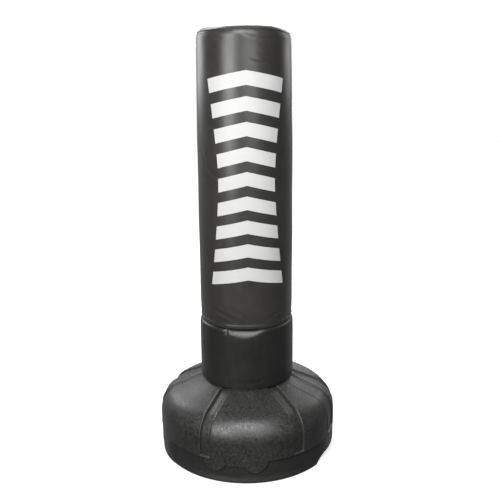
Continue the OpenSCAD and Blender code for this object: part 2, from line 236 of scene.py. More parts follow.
def add_piece(name, shells, body, material, sharp=38.0):
    """One object from several (vertices, faces) skins, riding on a body."""
    vertices, faces = [], []
    for points, rings in shells:
        start = len(vertices)
        vertices += points.tolist()
        faces += [tuple(start + i for i in face) for face in rings]
    mesh = bpy.data.meshes.new(name)
    mesh.from_pydata(vertices, [], faces)
    mesh.update()
    mesh.shade_smooth()
    mesh.set_sharp_from_angle(angle=radians(sharp))
    mesh.materials.append(material)
    piece = put(name, mesh)
    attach(piece, body)
    return piece


def lathe(profile, count, **kind):
    """Skin turned from a profile of (radius, height) pairs."""
    az = turns(count)[None, :]
    profile = np.array(profile, float)
    return shell(around(az, profile[:, :1], profile[:, 1:]), **kind)


def arc(centre, radius, start, end, steps):
    """Points of an arc in the (radius, height) plane, angles in degrees above level."""
    return [
        (centre[0] + radius * cos(radians(a)), centre[1] + radius * sin(radians(a)))
        for a in np.linspace(start, end, steps + 1)
    ]


def stitches(paths, long=3.0 * MM, gap=1.5 * MM, thick=0.45 * MM):
    """Rows of sewn stitches: a short thread along each step of a path (points, outward normals)."""
    shells = []
    spin = turns(6)
    shape = [(-0.5, 0.0), (-0.42, 0.8), (-0.2, 1.0), (0.2, 1.0), (0.42, 0.8), (0.5, 0.0)]
    for points, normals in paths:
        steps = np.linalg.norm(np.diff(points, axis=0), axis=1)
        reach = np.concatenate([[0], np.cumsum(steps)])
        count = max(1, int(reach[-1] // (long + gap)))
        for k in range(count):
            middle = (k + 0.5) * reach[-1] / count
            ends = [
                np.array([np.interp(middle + side * long / 2, reach, points[:, i]) for i in range(3)])
                for side in (-1, 1)
            ]
            normal = np.array([np.interp(middle, reach, normals[:, i]) for i in range(3)])
            along = ends[1] - ends[0]
            along /= np.linalg.norm(along)
            across = np.cross(along, normal)
            across /= np.linalg.norm(across)
            centre = (ends[0] + ends[1]) / 2
            rings = [
                centre
                + along * (u * long)
                + thick * w * (np.cos(spin)[:, None] * across + 0.75 * np.sin(spin)[:, None] * normal)
                + normal * (thick * 0.3 * w)
                for u, w in shape
            ]
            shells.append(shell(np.array(rings), first_pole=True, last_pole=True))
    return shells


# --- Materials ---
class Finish:
    """A Principled material with small helpers for its procedural textures."""

    def __init__(self, name, **sockets):
        self.material = bpy.data.materials.new(name)
        self.material.use_nodes = True
        self.tree = self.material.node_tree
        self.shader = self.tree.nodes["Principled BSDF"]
        self.where = self.node("ShaderNodeTexCoord").outputs["Object"]
        self.normal = None
        for socket, value in sockets.items():
            self.shader.inputs[socket.replace("_", " ")].default_value = value

    def node(self, kind, inputs=None, **settings):
        made = self.tree.nodes.new(kind)
        for key, value in settings.items():
            setattr(made, key, value)
        for socket, value in (inputs or {}).items():
            if isinstance(value, bpy.types.NodeSocket):
                self.tree.links.new(value, made.inputs[socket])
            else:
                made.inputs[socket].default_value = value
        return made

    def noise(self, scale, detail=4.0, rough=0.55, stretch=(1, 1, 1), twist=0.0):
        where = self.node("ShaderNodeMapping", {"Vector": self.where, "Scale": stretch}).outputs[0]
        inputs = {"Vector": where, "Scale": scale, "Detail": detail, "Roughness": rough,
                  "Distortion": twist}
        return self.node("ShaderNodeTexNoise", inputs).outputs["Fac"]

    def cells(self, scale, feature="F1"):
        inputs = {"Vector": self.where, "Scale": scale}
        return self.node("ShaderNodeTexVoronoi", inputs, feature=feature).outputs["Distance"]

    def waves(self, scale, direction, twist):
        inputs = {"Vector": self.where, "Scale": scale, "Distortion": twist, "Detail": 1.0}
        return self.node("ShaderNodeTexWave", inputs, bands_direction=direction).outputs["Fac"]

    def spread(self, value, low, high, start=0.3, end=0.7):
        """Value mapped from start..end to low..high."""
        inputs = {"Value": value, "From Min": start, "From Max": end, "To Min": low, "To Max": high}
        return self.node("ShaderNodeMapRange", inputs).outputs["Result"]

    def join(self, operation, a, b):
        return self.node("ShaderNodeMath", {0: a, 1: b}, operation=operation).outputs[0]

    def blend(self, a, of_a, b, of_b):
        """Sum of two values, so much of each."""
        return self.join("ADD", self.join("MULTIPLY", a, of_a), self.join("MULTIPLY", b, of_b))

    def ramp(self, value, *stops):
        """Colour by value, from (place, grey or colour) stops."""
        made = self.node("ShaderNodeValToRGB", {"Fac": value})
        elements = made.color_ramp.elements
        while len(elements) < len(stops):
            elements.new(0.5)
        for element, (place, colour) in zip(elements, stops):
            element.position = place
            element.color = (*(colour if isinstance(colour, tuple) else (colour,) * 3), 1.0)
        return made.outputs["Color"]

    def mix(self, share, a, b):
        """Colour a turning into colour b by a share."""
        return self.node("ShaderNodeMix", {0: share, 6: a, 7: b}, data_type="RGBA").outputs[2]

    def colour(self, socket):
        self.tree.links.new(socket, self.shader.inputs["Base Color"])

    def roughness(self, socket):
        self.tree.links.new(socket, self.shader.inputs["Roughness"])

    def bump(self, height, deep, strength=1.0):
        inputs = {"Height": height, "Distance": deep, "Strength": strength}
        if self.normal:
            inputs["Normal"] = self.normal
        self.normal = self.node("ShaderNodeBump", inputs).outputs["Normal"]
        self.tree.links.new(self.normal, self.shader.inputs["Normal"])


def moulded_plastic(name, dark, light, rough=(0.32, 0.54), grain=150.0, grain_deep=0.5 * MM):
    """Blow-moulded plastic: cloudy sheen, fine mottling, and rubbed edges."""
    f = Finish(name, Specular_IOR_Level=0.85, IOR=1.5)
    cloud = f.noise(11, 5, 0.6)
    mottle = f.noise(grain, 4, 0.6, stretch=(1, 1, 0.75), twist=0.3)
    edge = f.node("ShaderNodeNewGeometry").outputs["Pointiness"]
    rubbed = f.spread(edge, 0.0, 0.5, 0.51, 0.58)
    body = f.ramp(f.blend(cloud, 0.35, mottle, 0.65), (0.34, dark), (0.66, light))
    f.colour(f.mix(rubbed, body, (*[c * 2.2 for c in light], 1)))
    f.roughness(f.join("ADD", f.spread(mottle, rough[0], rough[1], 0.34, 0.66),
                       f.join("MULTIPLY", rubbed, -0.05)))
    f.bump(f.noise(38, 3, 0.5), 0.5 * MM, 0.35)
    f.bump(mottle, grain_deep, 0.8)
    f.bump(f.cells(820), 0.05 * MM, 0.5)
    return f.material


def vinyl(name, dark, light, rough):
    """Coated vinyl cloth: fine leather grain over a slow unevenness, with faint scuffs."""
    f = Finish(name, Specular_IOR_Level=0.7, IOR=1.5)
    cloud = f.noise(6.5, 4, 0.55)
    scuff = f.noise(34, 8, 0.72, stretch=(1, 1, 0.35), twist=0.6)
    f.colour(f.ramp(f.blend(cloud, 0.7, scuff, 0.3), (0.32, dark), (0.70, light)))
    f.roughness(f.join("ADD", f.spread(scuff, rough[0], rough[1], 0.3, 0.75),
                       f.spread(cloud, -0.03, 0.03)))
    f.bump(f.noise(16, 3, 0.5, stretch=(1, 1, 0.6)), 1.1 * MM, 0.28)
    f.bump(f.noise(30, 4, 0.6, stretch=(0.5, 0.5, 3.2), twist=0.5), 0.5 * MM, 0.35)
    f.bump(f.cells(720, "SMOOTH_F1"), 0.06 * MM, 0.55)
    f.bump(f.noise(1900, 3, 0.6), 0.03 * MM, 0.4)
    return f.material


def white_ink():
    """Screen-printed white: a thin coat that shows the cloth's grain and hairline wear."""
    f = Finish("white_ink", Specular_IOR_Level=0.35)
    thin = f.noise(240, 9, 0.75, twist=0.4)
    tone = f.ramp(f.noise(9, 4, 0.5), (0.25, (0.62, 0.62, 0.615)), (0.75, (0.68, 0.68, 0.675)))
    f.colour(f.mix(f.spread(thin, 0.0, 0.5, 0.70, 0.78), tone, (0.36, 0.36, 0.355, 1)))
    f.roughness(f.spread(f.noise(60, 6), 0.46, 0.62))
    f.bump(f.cells(720, "SMOOTH_F1"), 0.04 * MM, 0.5)
    return f.material


def steel(name, colour, rough, brushed):
    """Metal with fine drawn lines, smudges and a little tarnish."""
    f = Finish(name, Metallic=1.0, Specular_IOR_Level=0.5)
    lines = f.noise(160, 8, 0.7, stretch=brushed)
    smudge = f.noise(24, 5, 0.6)
    f.colour(f.ramp(smudge, (0.3, tuple(c * 0.82 for c in colour)), (0.7, colour)))
    f.roughness(f.join("ADD", f.spread(lines, rough - 0.07, rough + 0.08),
                       f.spread(smudge, -0.04, 0.06)))
    f.bump(lines, 0.03 * MM, 0.5)
    return f.material


def paint(name, dark, light):
    """Powder coat on the post: orange peel, and vertical rub marks from the guides."""
    f = Finish(name, Specular_IOR_Level=0.5, Coat_Weight=0.15, Coat_Roughness=0.3)
    rub = f.noise(42, 7, 0.7, stretch=(6, 6, 0.16))
    f.colour(f.ramp(rub, (0.35, dark), (0.62, light), (0.80, tuple(c * 2.6 for c in light))))
    f.roughness(f.spread(rub, 0.48, 0.28, 0.35, 0.75))
    f.bump(f.noise(520, 3, 0.5), 0.07 * MM, 0.6)
    return f.material


def woven(name, dark, light):
    """Close plain weave, for tapes and bindings."""
    f = Finish(name, Specular_IOR_Level=0.3, Sheen_Weight=0.25, Sheen_Roughness=0.5)
    weave = f.join("MAXIMUM", f.waves(1500, "X", 0.6), f.waves(1500, "Z", 0.6))
    f.colour(f.ramp(f.join("MULTIPLY", weave, f.spread(f.noise(90, 5), 0.7, 1.1)),
                    (0.2, dark), (0.95, light)))
    f.roughness(f.spread(f.noise(120, 4), 0.72, 0.9))
    f.bump(weave, 0.22 * MM, 0.8)
    return f.material


def thread(name, dark, light):
    """Twisted sewing thread."""
    f = Finish(name, Specular_IOR_Level=0.35, Sheen_Weight=0.3, Sheen_Roughness=0.4)
    ply = f.waves(900, "DIAGONAL", 0.4)
    f.colour(f.ramp(ply, (0.2, dark), (0.9, light)))
    f.roughness(f.spread(ply, 0.75, 0.55, 0.0, 1.0))
    f.bump(ply, 0.1 * MM, 0.8)
    return f.material


def foam(name, dark, light):
    """Open-cell foam: pores with painted shade in them, and a slow mottle from cutting."""
    f = Finish(name, Specular_IOR_Level=0.15, Subsurface_Weight=0.08)
    f.shader.inputs["Subsurface Radius"].default_value = (0.004, 0.003, 0.002)
    pores = f.cells(520)
    # Darker in the pores: painted shade in the open cells
    f.colour(f.mix(f.spread(pores, 0.65, 0.0, 0.0, 0.5), f.ramp(f.noise(18, 5), (0.3, dark), (0.7, light)),
                   (*[c * 0.35 for c in dark], 1)))
    f.roughness(f.spread(f.noise(60, 4), 0.88, 0.98))
    f.bump(pores, 0.6 * MM, 0.8)
    f.bump(f.noise(35, 5, 0.6), 1.0 * MM, 0.4)
    return f.material


def fibre_tube(name, dark, light):
    """Rolled tube of bonded board, with its spiral joint and short fibres."""
    f = Finish(name, Specular_IOR_Level=0.3)
    fibres = f.noise(210, 8, 0.75, stretch=(1, 1, 4))
    joint = f.waves(3.2, "DIAGONAL", 0.3)
    f.colour(f.ramp(f.blend(fibres, 0.7, joint, 0.3), (0.30, dark), (0.75, light)))
    f.roughness(f.spread(fibres, 0.6, 0.85))
    f.bump(fibres, 0.15 * MM, 0.7)
    return f.material


def nylon(name, dark, light):
    """Machined nylon: fine turning lines, with a little light carried inside."""
    f = Finish(name, Specular_IOR_Level=0.5, Subsurface_Weight=0.15)
    f.shader.inputs["Subsurface Radius"].default_value = (0.003, 0.0025, 0.002)
    lines = f.waves(900, "Z", 0.2)
    f.colour(f.ramp(f.noise(30, 6), (0.3, dark), (0.7, light)))
    f.roughness(f.spread(lines, 0.34, 0.5, 0.0, 1.0))
    f.bump(lines, 0.04 * MM, 0.6)
    return f.material


def rubber(name, dark, light):
    """Matt rubber with dust in its pores."""
    f = Finish(name, Specular_IOR_Level=0.3)
    f.colour(f.ramp(f.noise(140, 7, 0.7), (0.3, dark), (0.72, light)))
    f.roughness(f.spread(f.noise(60, 5), 0.7, 0.92))
    f.bump(f.noise(650, 4, 0.6), 0.08 * MM, 0.7)
    return f.material


def sand(name):
    """Loose dry sand."""
    f = Finish(name, Specular_IOR_Level=0.2)
    grains = f.cells(900)
    f.colour(f.ramp(f.blend(grains, 0.8, f.noise(400, 6), 0.5),
                    (0.2, (0.23, 0.17, 0.10)), (0.6, (0.55, 0.44, 0.28)), (0.9, (0.74, 0.66, 0.50))))
    f.roughness(f.spread(f.noise(80, 4), 0.86, 0.98))
    f.bump(grains, 0.5 * MM, 0.9)
    f.bump(f.noise(30, 5), 4 * MM, 0.5)
    return f.material


PLASTIC = moulded_plastic("base_moulding", (0.014, 0.0137, 0.0133), (0.047, 0.046, 0.0445))
# Recess under the step: the finer grain and roughness are its own finish, and its darker colour is painted
# shade under the step
SKIRT_PLASTIC_SHADED = moulded_plastic("skirt_moulding_painted_shade", (0.014, 0.0137, 0.0133), (0.032, 0.0314, 0.0304),
                                rough=(0.38, 0.48), grain=240.0, grain_deep=0.12 * MM)
CAP_PLASTIC = moulded_plastic("cap_moulding", (0.016, 0.016, 0.016), (0.030, 0.030, 0.029),
                              rough=(0.30, 0.44), grain=480.0, grain_deep=0.05 * MM)
BAG_VINYL = vinyl("bag_vinyl", (0.028, 0.0271, 0.0258), (0.042, 0.0407, 0.0387), rough=(0.30, 0.42))
COLLAR_VINYL = vinyl("collar_vinyl", (0.014, 0.0137, 0.0132), (0.022, 0.0216, 0.0208),
                     rough=(0.34, 0.46))
INK = white_ink()
TAPE = woven("zip_webbing", (0.006, 0.006, 0.006), (0.034, 0.034, 0.034))
THREAD = thread("sewing_thread", (0.010, 0.010, 0.010), (0.055, 0.055, 0.055))
TEETH = moulded_plastic("coil_moulding", (0.012, 0.012, 0.012), (0.030, 0.030, 0.030),
                        rough=(0.25, 0.4), grain=900.0, grain_deep=0.03 * MM)
POST_PAINT = paint("post_coating", (0.020, 0.020, 0.021), (0.050, 0.050, 0.052))
BRIGHT = steel("bright_steel", (0.56, 0.56, 0.57), 0.30, brushed=(30, 1, 1))
ZIP_METAL = steel("zip_metal", (0.52, 0.51, 0.50), 0.26, brushed=(1, 1, 12))
NYLON = nylon("bush_nylon", (0.62, 0.61, 0.56), (0.74, 0.73, 0.68))
CORE = fibre_tube("core_tube_board", (0.16, 0.12, 0.08), (0.34, 0.28, 0.20))
RUBBER = rubber("seal_rubber", (0.010, 0.010, 0.010), (0.026, 0.026, 0.025))
FOAM = foam("grey_foam", (0.13, 0.13, 0.125), (0.22, 0.22, 0.21))
SAND = sand("dry_sand")


def finish_with(piece, *materials):
    """Gives a piece these materials in place of any others."""
    piece.data.materials.clear()
    for material in materials:
        piece.data.materials.append(material)


# --- Base ---
def cone_z(r):
    """Height of the base's conical top at a radius."""
    edge_r = BASE_R - SHOULDER_R + SHOULDER_R * sin(CONE_SLOPE)
    return WALL_TOP_Z + SHOULDER_R * cos(CONE_SLOPE) + (edge_r - r) * tan(CONE_SLOPE)


def lateral(bearing, half):
    """Bearing in radians, at the base's wall, of a line half to the side of a channel's middle."""
    return radians(bearing) + asin(half / BASE_R)


def base_columns():
    """Bearings of the base's mesh columns at its wall, with a column on each feature's edge."""
    fine = []
    for bearing, half, *_ in CHANNELS:
        offsets = [half + u * MM for u in (3.6, 2.7, 2.0, 1.4, 0.8, 0.3, -0.3, -0.8, -1.4, -2.1, -2.8, -3.6,
                                           -4.8, -6.5, -9, -13)]
        fine += [lateral(bearing, side * u) for u in offsets for side in (-1, 1)]
        fine.append(radians(bearing))
    for turn in (0, 180):
        fine += [radians(turn + edge) for edge, _ in FOOT_GAP]
    wide = degrees(LOBE_R / BASE_R)
    for turn in (0, 180):
        low = turn + LOBE_BEARINGS[0] - wide - 1
        high = turn + LOBE_BEARINGS[1] + wide + 1
        fine += list(np.radians(np.arange(low, high, 0.36)))
    coarse = np.radians(np.arange(-180, 180, 1.2))
    taken = []
    for group, room in ((fine, radians(0.06)), (coarse, radians(0.5))):
        for value in group:
            value = wrapped(value)
            if all(abs(wrapped(value - t)) > room for t in taken):
                taken.append(value)
    return np.array(sorted(taken))


def fan(columns, r):
    """The columns' bearings at radius r, so that those along a channel keep straight beside it."""
    def anchors(radius):
        made = []
        for bearing, half, *_ in CHANNELS:
            made += [radians(bearing) + asin(u / radius)
                     for u in (-half - 2 * MM, -half, 0.0, half, half + 2 * MM)]
        return made
    radius = min(max(r, CHANNEL_NEAR_R), BASE_R)
    pairs = sorted(zip(anchors(BASE_R), anchors(radius)))
    full = 2 * pi
    wide = [(a + k * full, b + k * full) for k in (-1, 0, 1) for a, b in pairs]
    wide.sort()
    return np.interp(columns, [a for a, _ in wide], [b for _, b in wide])


def channel_depth(az, r, z):
    """How far the moulded channels sink the surface, at a bearing, radius and height.

    A crisp side is deep and steep, with a raised lip and a groove at its foot. The other side is shallow
    and soft, and only a fine line below the shoulder."""
    depth = np.zeros_like(az)
    for bearing, half, crisp, above in CHANNELS:
        turn = wrapped(az - radians(bearing))
        radius = max(r, CHANNEL_NEAR_R)
        u = np.where(np.abs(turn) < pi / 2, radius * np.sin(turn), 1.0)
        walls, deep = 1.0, {}
        for side in (-1, 1):
            inward = half + u if side < 0 else half - u
            sharp = crisp in (0, side)
            fade = above + (1 - above) * float(smooth((225 * MM - z) / (40 * MM)))
            deep[side] = CHANNEL_DEEP if sharp else CHANNEL_SHALLOW * fade
            walls = walls * smooth(inward / ((2.0 if sharp else 6.0) * MM))
            if sharp:
                depth = depth - 0.9 * MM * bell(inward + 1.3 * MM, 1.0 * MM)
                depth = depth + 1.3 * MM * bell(inward - 2.4 * MM, 1.1 * MM)
            else:
                line = float(smooth((200 * MM - z) / (25 * MM)))
                depth = depth + 1.7 * MM * line * bell(inward, 0.9 * MM)
        floor = deep[-1] + (deep[1] - deep[-1]) * smooth((u + half) / (2 * half))
        depth = depth + floor * walls
    return np.minimum(depth, CHANNEL_DEEP + 1.5 * MM)


def lobe_mask(az, z):
    """1 where the lobes and their web stand over the skirt, 0 elsewhere, with a soft edge."""
    best = np.full(np.broadcast(az, z).shape, -1.0)
    for turn in (0, 180):
        for bearing in LOBE_BEARINGS:
            u = BASE_R * np.sin(az - radians(turn + bearing))
            front = np.cos(az - radians(turn + bearing)) > 0
            best = np.maximum(best, np.where(front, LOBE_R - np.hypot(u, z - STEP_Z), -1.0))
        middle = radians(turn + sum(LOBE_BEARINGS) / 2)
        u = BASE_R * np.sin(az - middle)
        web = np.minimum(z - LOBE_WEB_Z, 2 * LOBE_R - np.abs(u))
        best = np.maximum(best, np.where(np.cos(az - middle) > 0, web, -1.0))
    return smooth(best / (2.6 * MM))


def gap_height(az):
    """Height that the foot's rim is raised to at a bearing."""
    half_turn = np.degrees(az) % 180
    return MM * np.interp(half_turn, [a for a, _ in FOOT_GAP], [z for _, z in FOOT_GAP])


def recess_share(az):
    """1 where the skirt stands back under the step, 0 at the sides, where it runs level with the wall."""
    from_front = np.degrees(np.arcsin(np.abs(np.sin(az))))
    return 1 - smooth((from_front - RECESS_END[0]) / (RECESS_END[1] - RECESS_END[0]))


def base_profile():
    """The tank's outside as rows of radius, height, outward normal and share of channel depth."""
    rows = [(DRAIN_R, UNDER_Z), (40 * MM, UNDER_Z), (120 * MM, UNDER_Z), (200 * MM, UNDER_Z),
            (UNDER_R - 1 * MM, UNDER_Z), (UNDER_R, UNDER_Z - 0.6 * MM), (UNDER_R, 0.6 * MM),
            (UNDER_R + 1 * MM, 0), (FOOT_R - 6 * MM, 0)]
    rows += arc((FOOT_R - 5 * MM, 5 * MM), 5 * MM, -80, 0, 5)
    rows += [(FOOT_R - u * MM, z * MM) for u, z in ((0.7, 8), (1.8, 12), (2.8, 16), (3.6, 19.5), (3.9, 22))]
    rows += [(SKIRT_R, FOOT_H + 4 * MM)]
    rows += [(SKIRT_R, z * MM) for z in np.arange(27, 74, 1.8)]
    rows += [(SKIRT_R + u * MM, z * MM) for u, z in
             ((0.15, 74.6), (0.9, 75.3), (2.6, 75.7), (4.6, 76.2), (5.9, 77.1), (6.7, 78.2), (7.0, 79.4))]
    plain = [(r, z, 1.0, 0.0, 0.0) for r, z in rows]
    for z in (80.2, 81, 81.8, 82.6, 83.4, 84.2, 85.2, 87, 91, 97, 104, 111, 118, 125, 131, 137):
        plain.append((BASE_R, z * MM, 1.0, 0.0, float(smooth((z * MM - CHANNEL_LOW_Z) / (4 * MM)))))
    centre = BASE_R - SHOULDER_R
    for a in np.linspace(0, pi / 2 - CONE_SLOPE, 25)[1:]:
        plain.append((centre + SHOULDER_R * cos(a), WALL_TOP_Z + SHOULDER_R * sin(a),
                      cos(a), sin(a), 1.0))
    edge_r = plain[-1][0]
    lean = (sin(CONE_SLOPE), cos(CONE_SLOPE))
    for r in [*np.arange(edge_r - 5 * MM, 160 * MM, -5 * MM), 0.15, 0.13, 0.11, 0.09, 0.075, 0.064, 0.0596]:
        plain.append((r, cone_z(r), *lean, float(smooth((r - 64 * MM) / (12 * MM)))))
    boss = [(BOSS_R + 0.5 * MM, cone_z(BOSS_R) + 0.3 * MM), (BOSS_R, cone_z(BOSS_R) + 1.2 * MM)]
    boss += arc((BOSS_R - 1 * MM, BOSS_Z - 1 * MM), 1 * MM, 0, 90, 3)
    boss += [(50 * MM, BOSS_Z), (WELL_R + 0.9 * MM, BOSS_Z), (WELL_R + 0.2 * MM, BOSS_Z - 0.4 * MM),
             (WELL_R, BOSS_Z - 1.4 * MM), (WELL_R, 200 * MM), (WELL_R, 100 * MM), (WELL_R, WELL_Z + 1 * MM),
             (WELL_R - 1 * MM, WELL_Z), (DRAIN_R + 0.5 * MM, WELL_Z), (DRAIN_R, WELL_Z - 0.5 * MM)]
    plain += [(r, z, 1.0, 0.0, 0.0) for r, z in boss]
    return plain


def blown_out(az, r, z):
    """How far the shoulder and cone stand out: slow waves, a full cone, and the gate's scar."""
    waves = 0.35 * MM * ripple(az, z + 2 * r, 11, tallest=20.0)
    from_filler = np.hypot(r * np.sin(az), -r * np.cos(az) - FILLER_Y)
    full = smooth((r - 0.09) / 0.08) * smooth((0.30 - r) / 0.05)
    full = full * smooth((from_filler - 45 * MM) / (35 * MM))
    gate = smooth((9 * MM - np.abs(az * BASE_R + 5 * MM) - 0.45 * (z - STEP_Z)) / (2.5 * MM))
    gate = gate * (z < STEP_Z + 20 * MM)
    return waves + CONE_SWELL * full + GATE_PROUD * gate


def flush_radius(r, z):
    """Radius of the skirt at the sides, where it runs level with the wall."""
    flush = BASE_R - 0.3 * MM - 0.5 * MM * bell(z - FOOT_H - 2 * MM, 1.5 * MM)
    return min(flush - 2.2 * MM * float(smooth((34 * MM - z) / (24 * MM))), r + 6.7 * MM)


def tank_outside(columns):
    """Skin of the tank's outside, as a closed loop through the post's well and the drain."""
    points = []
    gap, recess = gap_height(columns), recess_share(columns)
    for r, z, nr, nz, share in base_profile():
        az = fan(columns, r) if r > 60 * MM and z > STEP_Z else columns
        sink = share * channel_depth(az, r, z)
        if z > STEP_Z and r > 70 * MM:
            sink = sink - blown_out(az, r, z)
        ring_r = r - sink * nr
        ring_z = np.full_like(az, z) - sink * nz
        if SKIRT_R - 1 * MM < r and z < STEP_Z + 0.2 * MM:
            flush = flush_radius(r, z)
            ring_r = np.maximum(ring_r, flush + (ring_r - flush) * recess)
        if FOOT_H + 3 * MM < z < STEP_Z and r > SKIRT_R - 1 * MM:
            ring_r = np.maximum(ring_r, ring_r + (LOBE_PROUD_R - ring_r) * lobe_mask(az, z))
        if r > UNDER_R - 0.5 * MM and z < FOOT_H + 4.5 * MM:
            ring_z = np.maximum(ring_z, gap + 0.05 * z)
            ring_r = ring_r - 0.2 * gap * smooth((r - UNDER_R - 15 * MM) / (10 * MM))
        points.append(around(az, ring_r, ring_z))
    return shell(np.array(points), loop=True)


def tank_inside(columns):
    """Skin of the tank's hollow, a wall's thickness in, and deeper under the filler's pocket."""
    rows = [(r, z, nr, nz, s) for r, z, nr, nz, s in base_profile()
            if z > STEP_Z + 4 * MM and r > 64 * MM]
    points = []
    for r, z in ((WELL_R + 8 * MM, UNDER_Z + TANK_WALL), (150 * MM, UNDER_Z + TANK_WALL),
                 (UNDER_R - 9 * MM, UNDER_Z + TANK_WALL), (UNDER_R - 5 * MM, UNDER_Z + TANK_WALL + 4 * MM),
                 (UNDER_R - 3 * MM, FOOT_H + 8 * MM), (SKIRT_R - TANK_WALL - 4 * MM, FOOT_H + 9 * MM),
                 (SKIRT_R - TANK_WALL, FOOT_H + 13 * MM), (SKIRT_R - TANK_WALL, STEP_Z - 4 * MM)):
        points.append(around(columns, r, z))
    for r, z, nr, nz, share in rows[::2]:
        az = fan(columns, r)
        sink = TANK_WALL + share * np.maximum(channel_depth(az, r, z), 0)
        flat = np.hypot(r * np.sin(az), -r * np.cos(az) - FILLER_Y)
        sink = sink + POCKET_DEEP * smooth((POCKET_R + 7 * MM - flat) / (6 * MM))
        points.append(around(az, r - sink * nr, z - sink * nz))
    for r, z in ((BOSS_R + 1 * MM, cone_z(BOSS_R) - 14 * MM), (BOSS_R, BOSS_LOW_Z),
                 (WELL_R + 8 * MM, BOSS_LOW_Z), (WELL_R + 8 * MM, 150 * MM)):
        points.append(around(columns, r, z))
    return shell(np.array(points), loop=True, hollow=True)


def cutter(name, profile):
    """Hidden tool that cuts the filler's pocket and hole square to the cone."""
    vertices, faces = lathe(profile, 96, first_pole=True, last_pole=True)
    mesh = bpy.data.meshes.new(name)
    mesh.from_pydata(vertices.tolist(), [], faces)
    tool = put(name, mesh)
    tool.location = (0, FILLER_Y, cone_z(FILLER_Y))
    tool.rotation_euler = (-CONE_SLOPE, 0, 0)
    return tool


def cut(piece, *tools):
    """Takes the tools' shapes out of a piece, and removes them."""
    for tool in tools:
        modifier = piece.modifiers.new("cut", "BOOLEAN")
        modifier.operation = "DIFFERENCE"
        modifier.solver = "MANIFOLD"
        modifier.object = tool
    bpy.context.view_layer.update()
    evaluated = piece.evaluated_get(bpy.context.evaluated_depsgraph_get())
    piece.data = bpy.data.meshes.new_from_object(evaluated)
    piece.modifiers.clear()
    for tool in tools:
        bpy.data.objects.remove(tool)


def build_base():
    """The tank, with the filler's pocket and hole cut in it, and the recess under its step in a finer,
    duller finish whose darker colour is painted shade.
    """
    columns = base_columns()
    tank = add_piece("tank_moulding", [tank_outside(columns), tank_inside(columns)],
                     "base", PLASTIC, sharp=50)
    deep, rim = -POCKET_DEEP, 1.2 * MM
    pocket = [(0, deep), (POCKET_R - 1.5 * MM, deep), (POCKET_R - 0.4 * MM, deep + 0.4 * MM),
              (POCKET_R, deep + 1.5 * MM), (POCKET_R, -rim), (POCKET_R + 0.35 * MM, -0.35 * rim),
              (POCKET_R + rim, 0.2 * rim), (POCKET_R + 3 * rim, 2 * rim), (0, 12 * MM)]
    hole = [(0, -30 * MM), (FILLER_HOLE_R, -30 * MM), (FILLER_HOLE_R, deep - 0.8 * MM),
            (FILLER_HOLE_R + 0.8 * MM, deep), (FILLER_HOLE_R + 0.8 * MM, deep + 2 * MM), (0, deep + 3 * MM)]
    cut(tank, cutter("pocket_tool", pocket), cutter("hole_tool", hole))
    tank.data.shade_smooth()
    tank.data.set_sharp_from_angle(angle=radians(50))
    finish_with(tank, PLASTIC, SKIRT_PLASTIC_SHADED)
    middles = np.array([face.center for face in tank.data.polygons])
    bearing, height = np.arctan2(middles[:, 0], -middles[:, 1]), middles[:, 2]
    # Faces of the recess under the step take the darker material: painted shade under the step
    shaded_recess_part = (height < STEP_Z - 3.4 * MM) & (lobe_mask(bearing, height) < 0.5)
    shaded_recess_part &= recess_share(bearing) > 0.5
    tank.data.polygons.foreach_set("material_index", shaded_recess_part.astype(np.int32))
    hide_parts("base_tank")


# --- Collar ---
def collar_profile(inset, steps=8):
    """The collar's section, from its hole out along its foot, up its side and back over its top."""
    low = 0.5 * MM + inset / cos(CONE_SLOPE)
    inner = COLLAR_HOLE_R + inset
    foot, edge = 15 * MM, 10 * MM
    foot_x, foot_z = COLLAR_R - foot, cone_z(COLLAR_R) + foot + 2.5 * MM
    edge_x, edge_z = COLLAR_R - edge, COLLAR_TOP - edge
    rows = [(inner + 1.5 * MM, cone_z(inner + 1.5 * MM) + low)]
    rows += [(r, cone_z(r) + low) for r in (0.09, 0.12, foot_x - 6 * MM)]
    rows += arc((foot_x, foot_z), foot - inset, -62, 0, steps)
    side_low, side_high = foot_z + 4 * MM, edge_z - 4 * MM
    rows += [(COLLAR_R - inset, z) for z in np.linspace(side_low, side_high, 5 * steps)]
    rows += arc((edge_x, edge_z), edge - inset, 0, 90, steps)
    rows += [(0.12, COLLAR_TOP - inset), (0.09, COLLAR_TOP - inset), (inner + 1.5 * MM, COLLAR_TOP - inset)]
    rows += [(inner, COLLAR_TOP - inset - 1.5 * MM), (inner, 0.40), (inner, cone_z(inner) + low + 1.5 * MM)]
    return np.array(rows)


# Bearings in degrees over which the collar's top edge leans in, and of the pinch beside it
LEAN_FROM, LEAN_TO = -23, 24
PINCH_AT = -24


def collar_push(az, z):
    """How far the stuffed collar stands out from its plain side: slow bulges, a pinch, and folds."""
    middle = smooth((z - cone_z(COLLAR_R)) / (60 * MM)) * smooth((COLLAR_TOP + 12 * MM - z) / (60 * MM))
    push = -0.6 * MM + 1.2 * MM * middle + 0.6 * MM * ripple(az, z, 21, tallest=12.0) * middle
    side = wrapped(az)
    pinch = bell(side - radians(PINCH_AT), radians(2.1))
    pinch = pinch * smooth((z - (COLLAR_TOP - 26 * MM)) / (22 * MM))
    # Over the front the filling has slipped down, so the top edge leans in under the bag
    roll = smooth((side - radians(LEAN_FROM)) / radians(4))
    roll = roll * smooth((radians(LEAN_TO) - side) / radians(13))
    tall = (12 + 15 * roll * smooth(1 - np.abs(side + radians(2)) / radians(26))) * MM
    over = np.clip((z - COLLAR_TOP + tall) / tall, 0, 1)
    lean = 0.62 * tall * roll * over**1.25
    folds = crease(az, z, COLLAR_R, [(-52, 452), (-36, 447), (-27, 452)], 4 * MM, 0.7 * MM)
    folds = folds + crease(az, z, COLLAR_R, [(28, 300), (12, 285), (-14, 284)], 6 * MM, 0.8 * MM)
    return push - 4.2 * MM * pinch - lean + folds


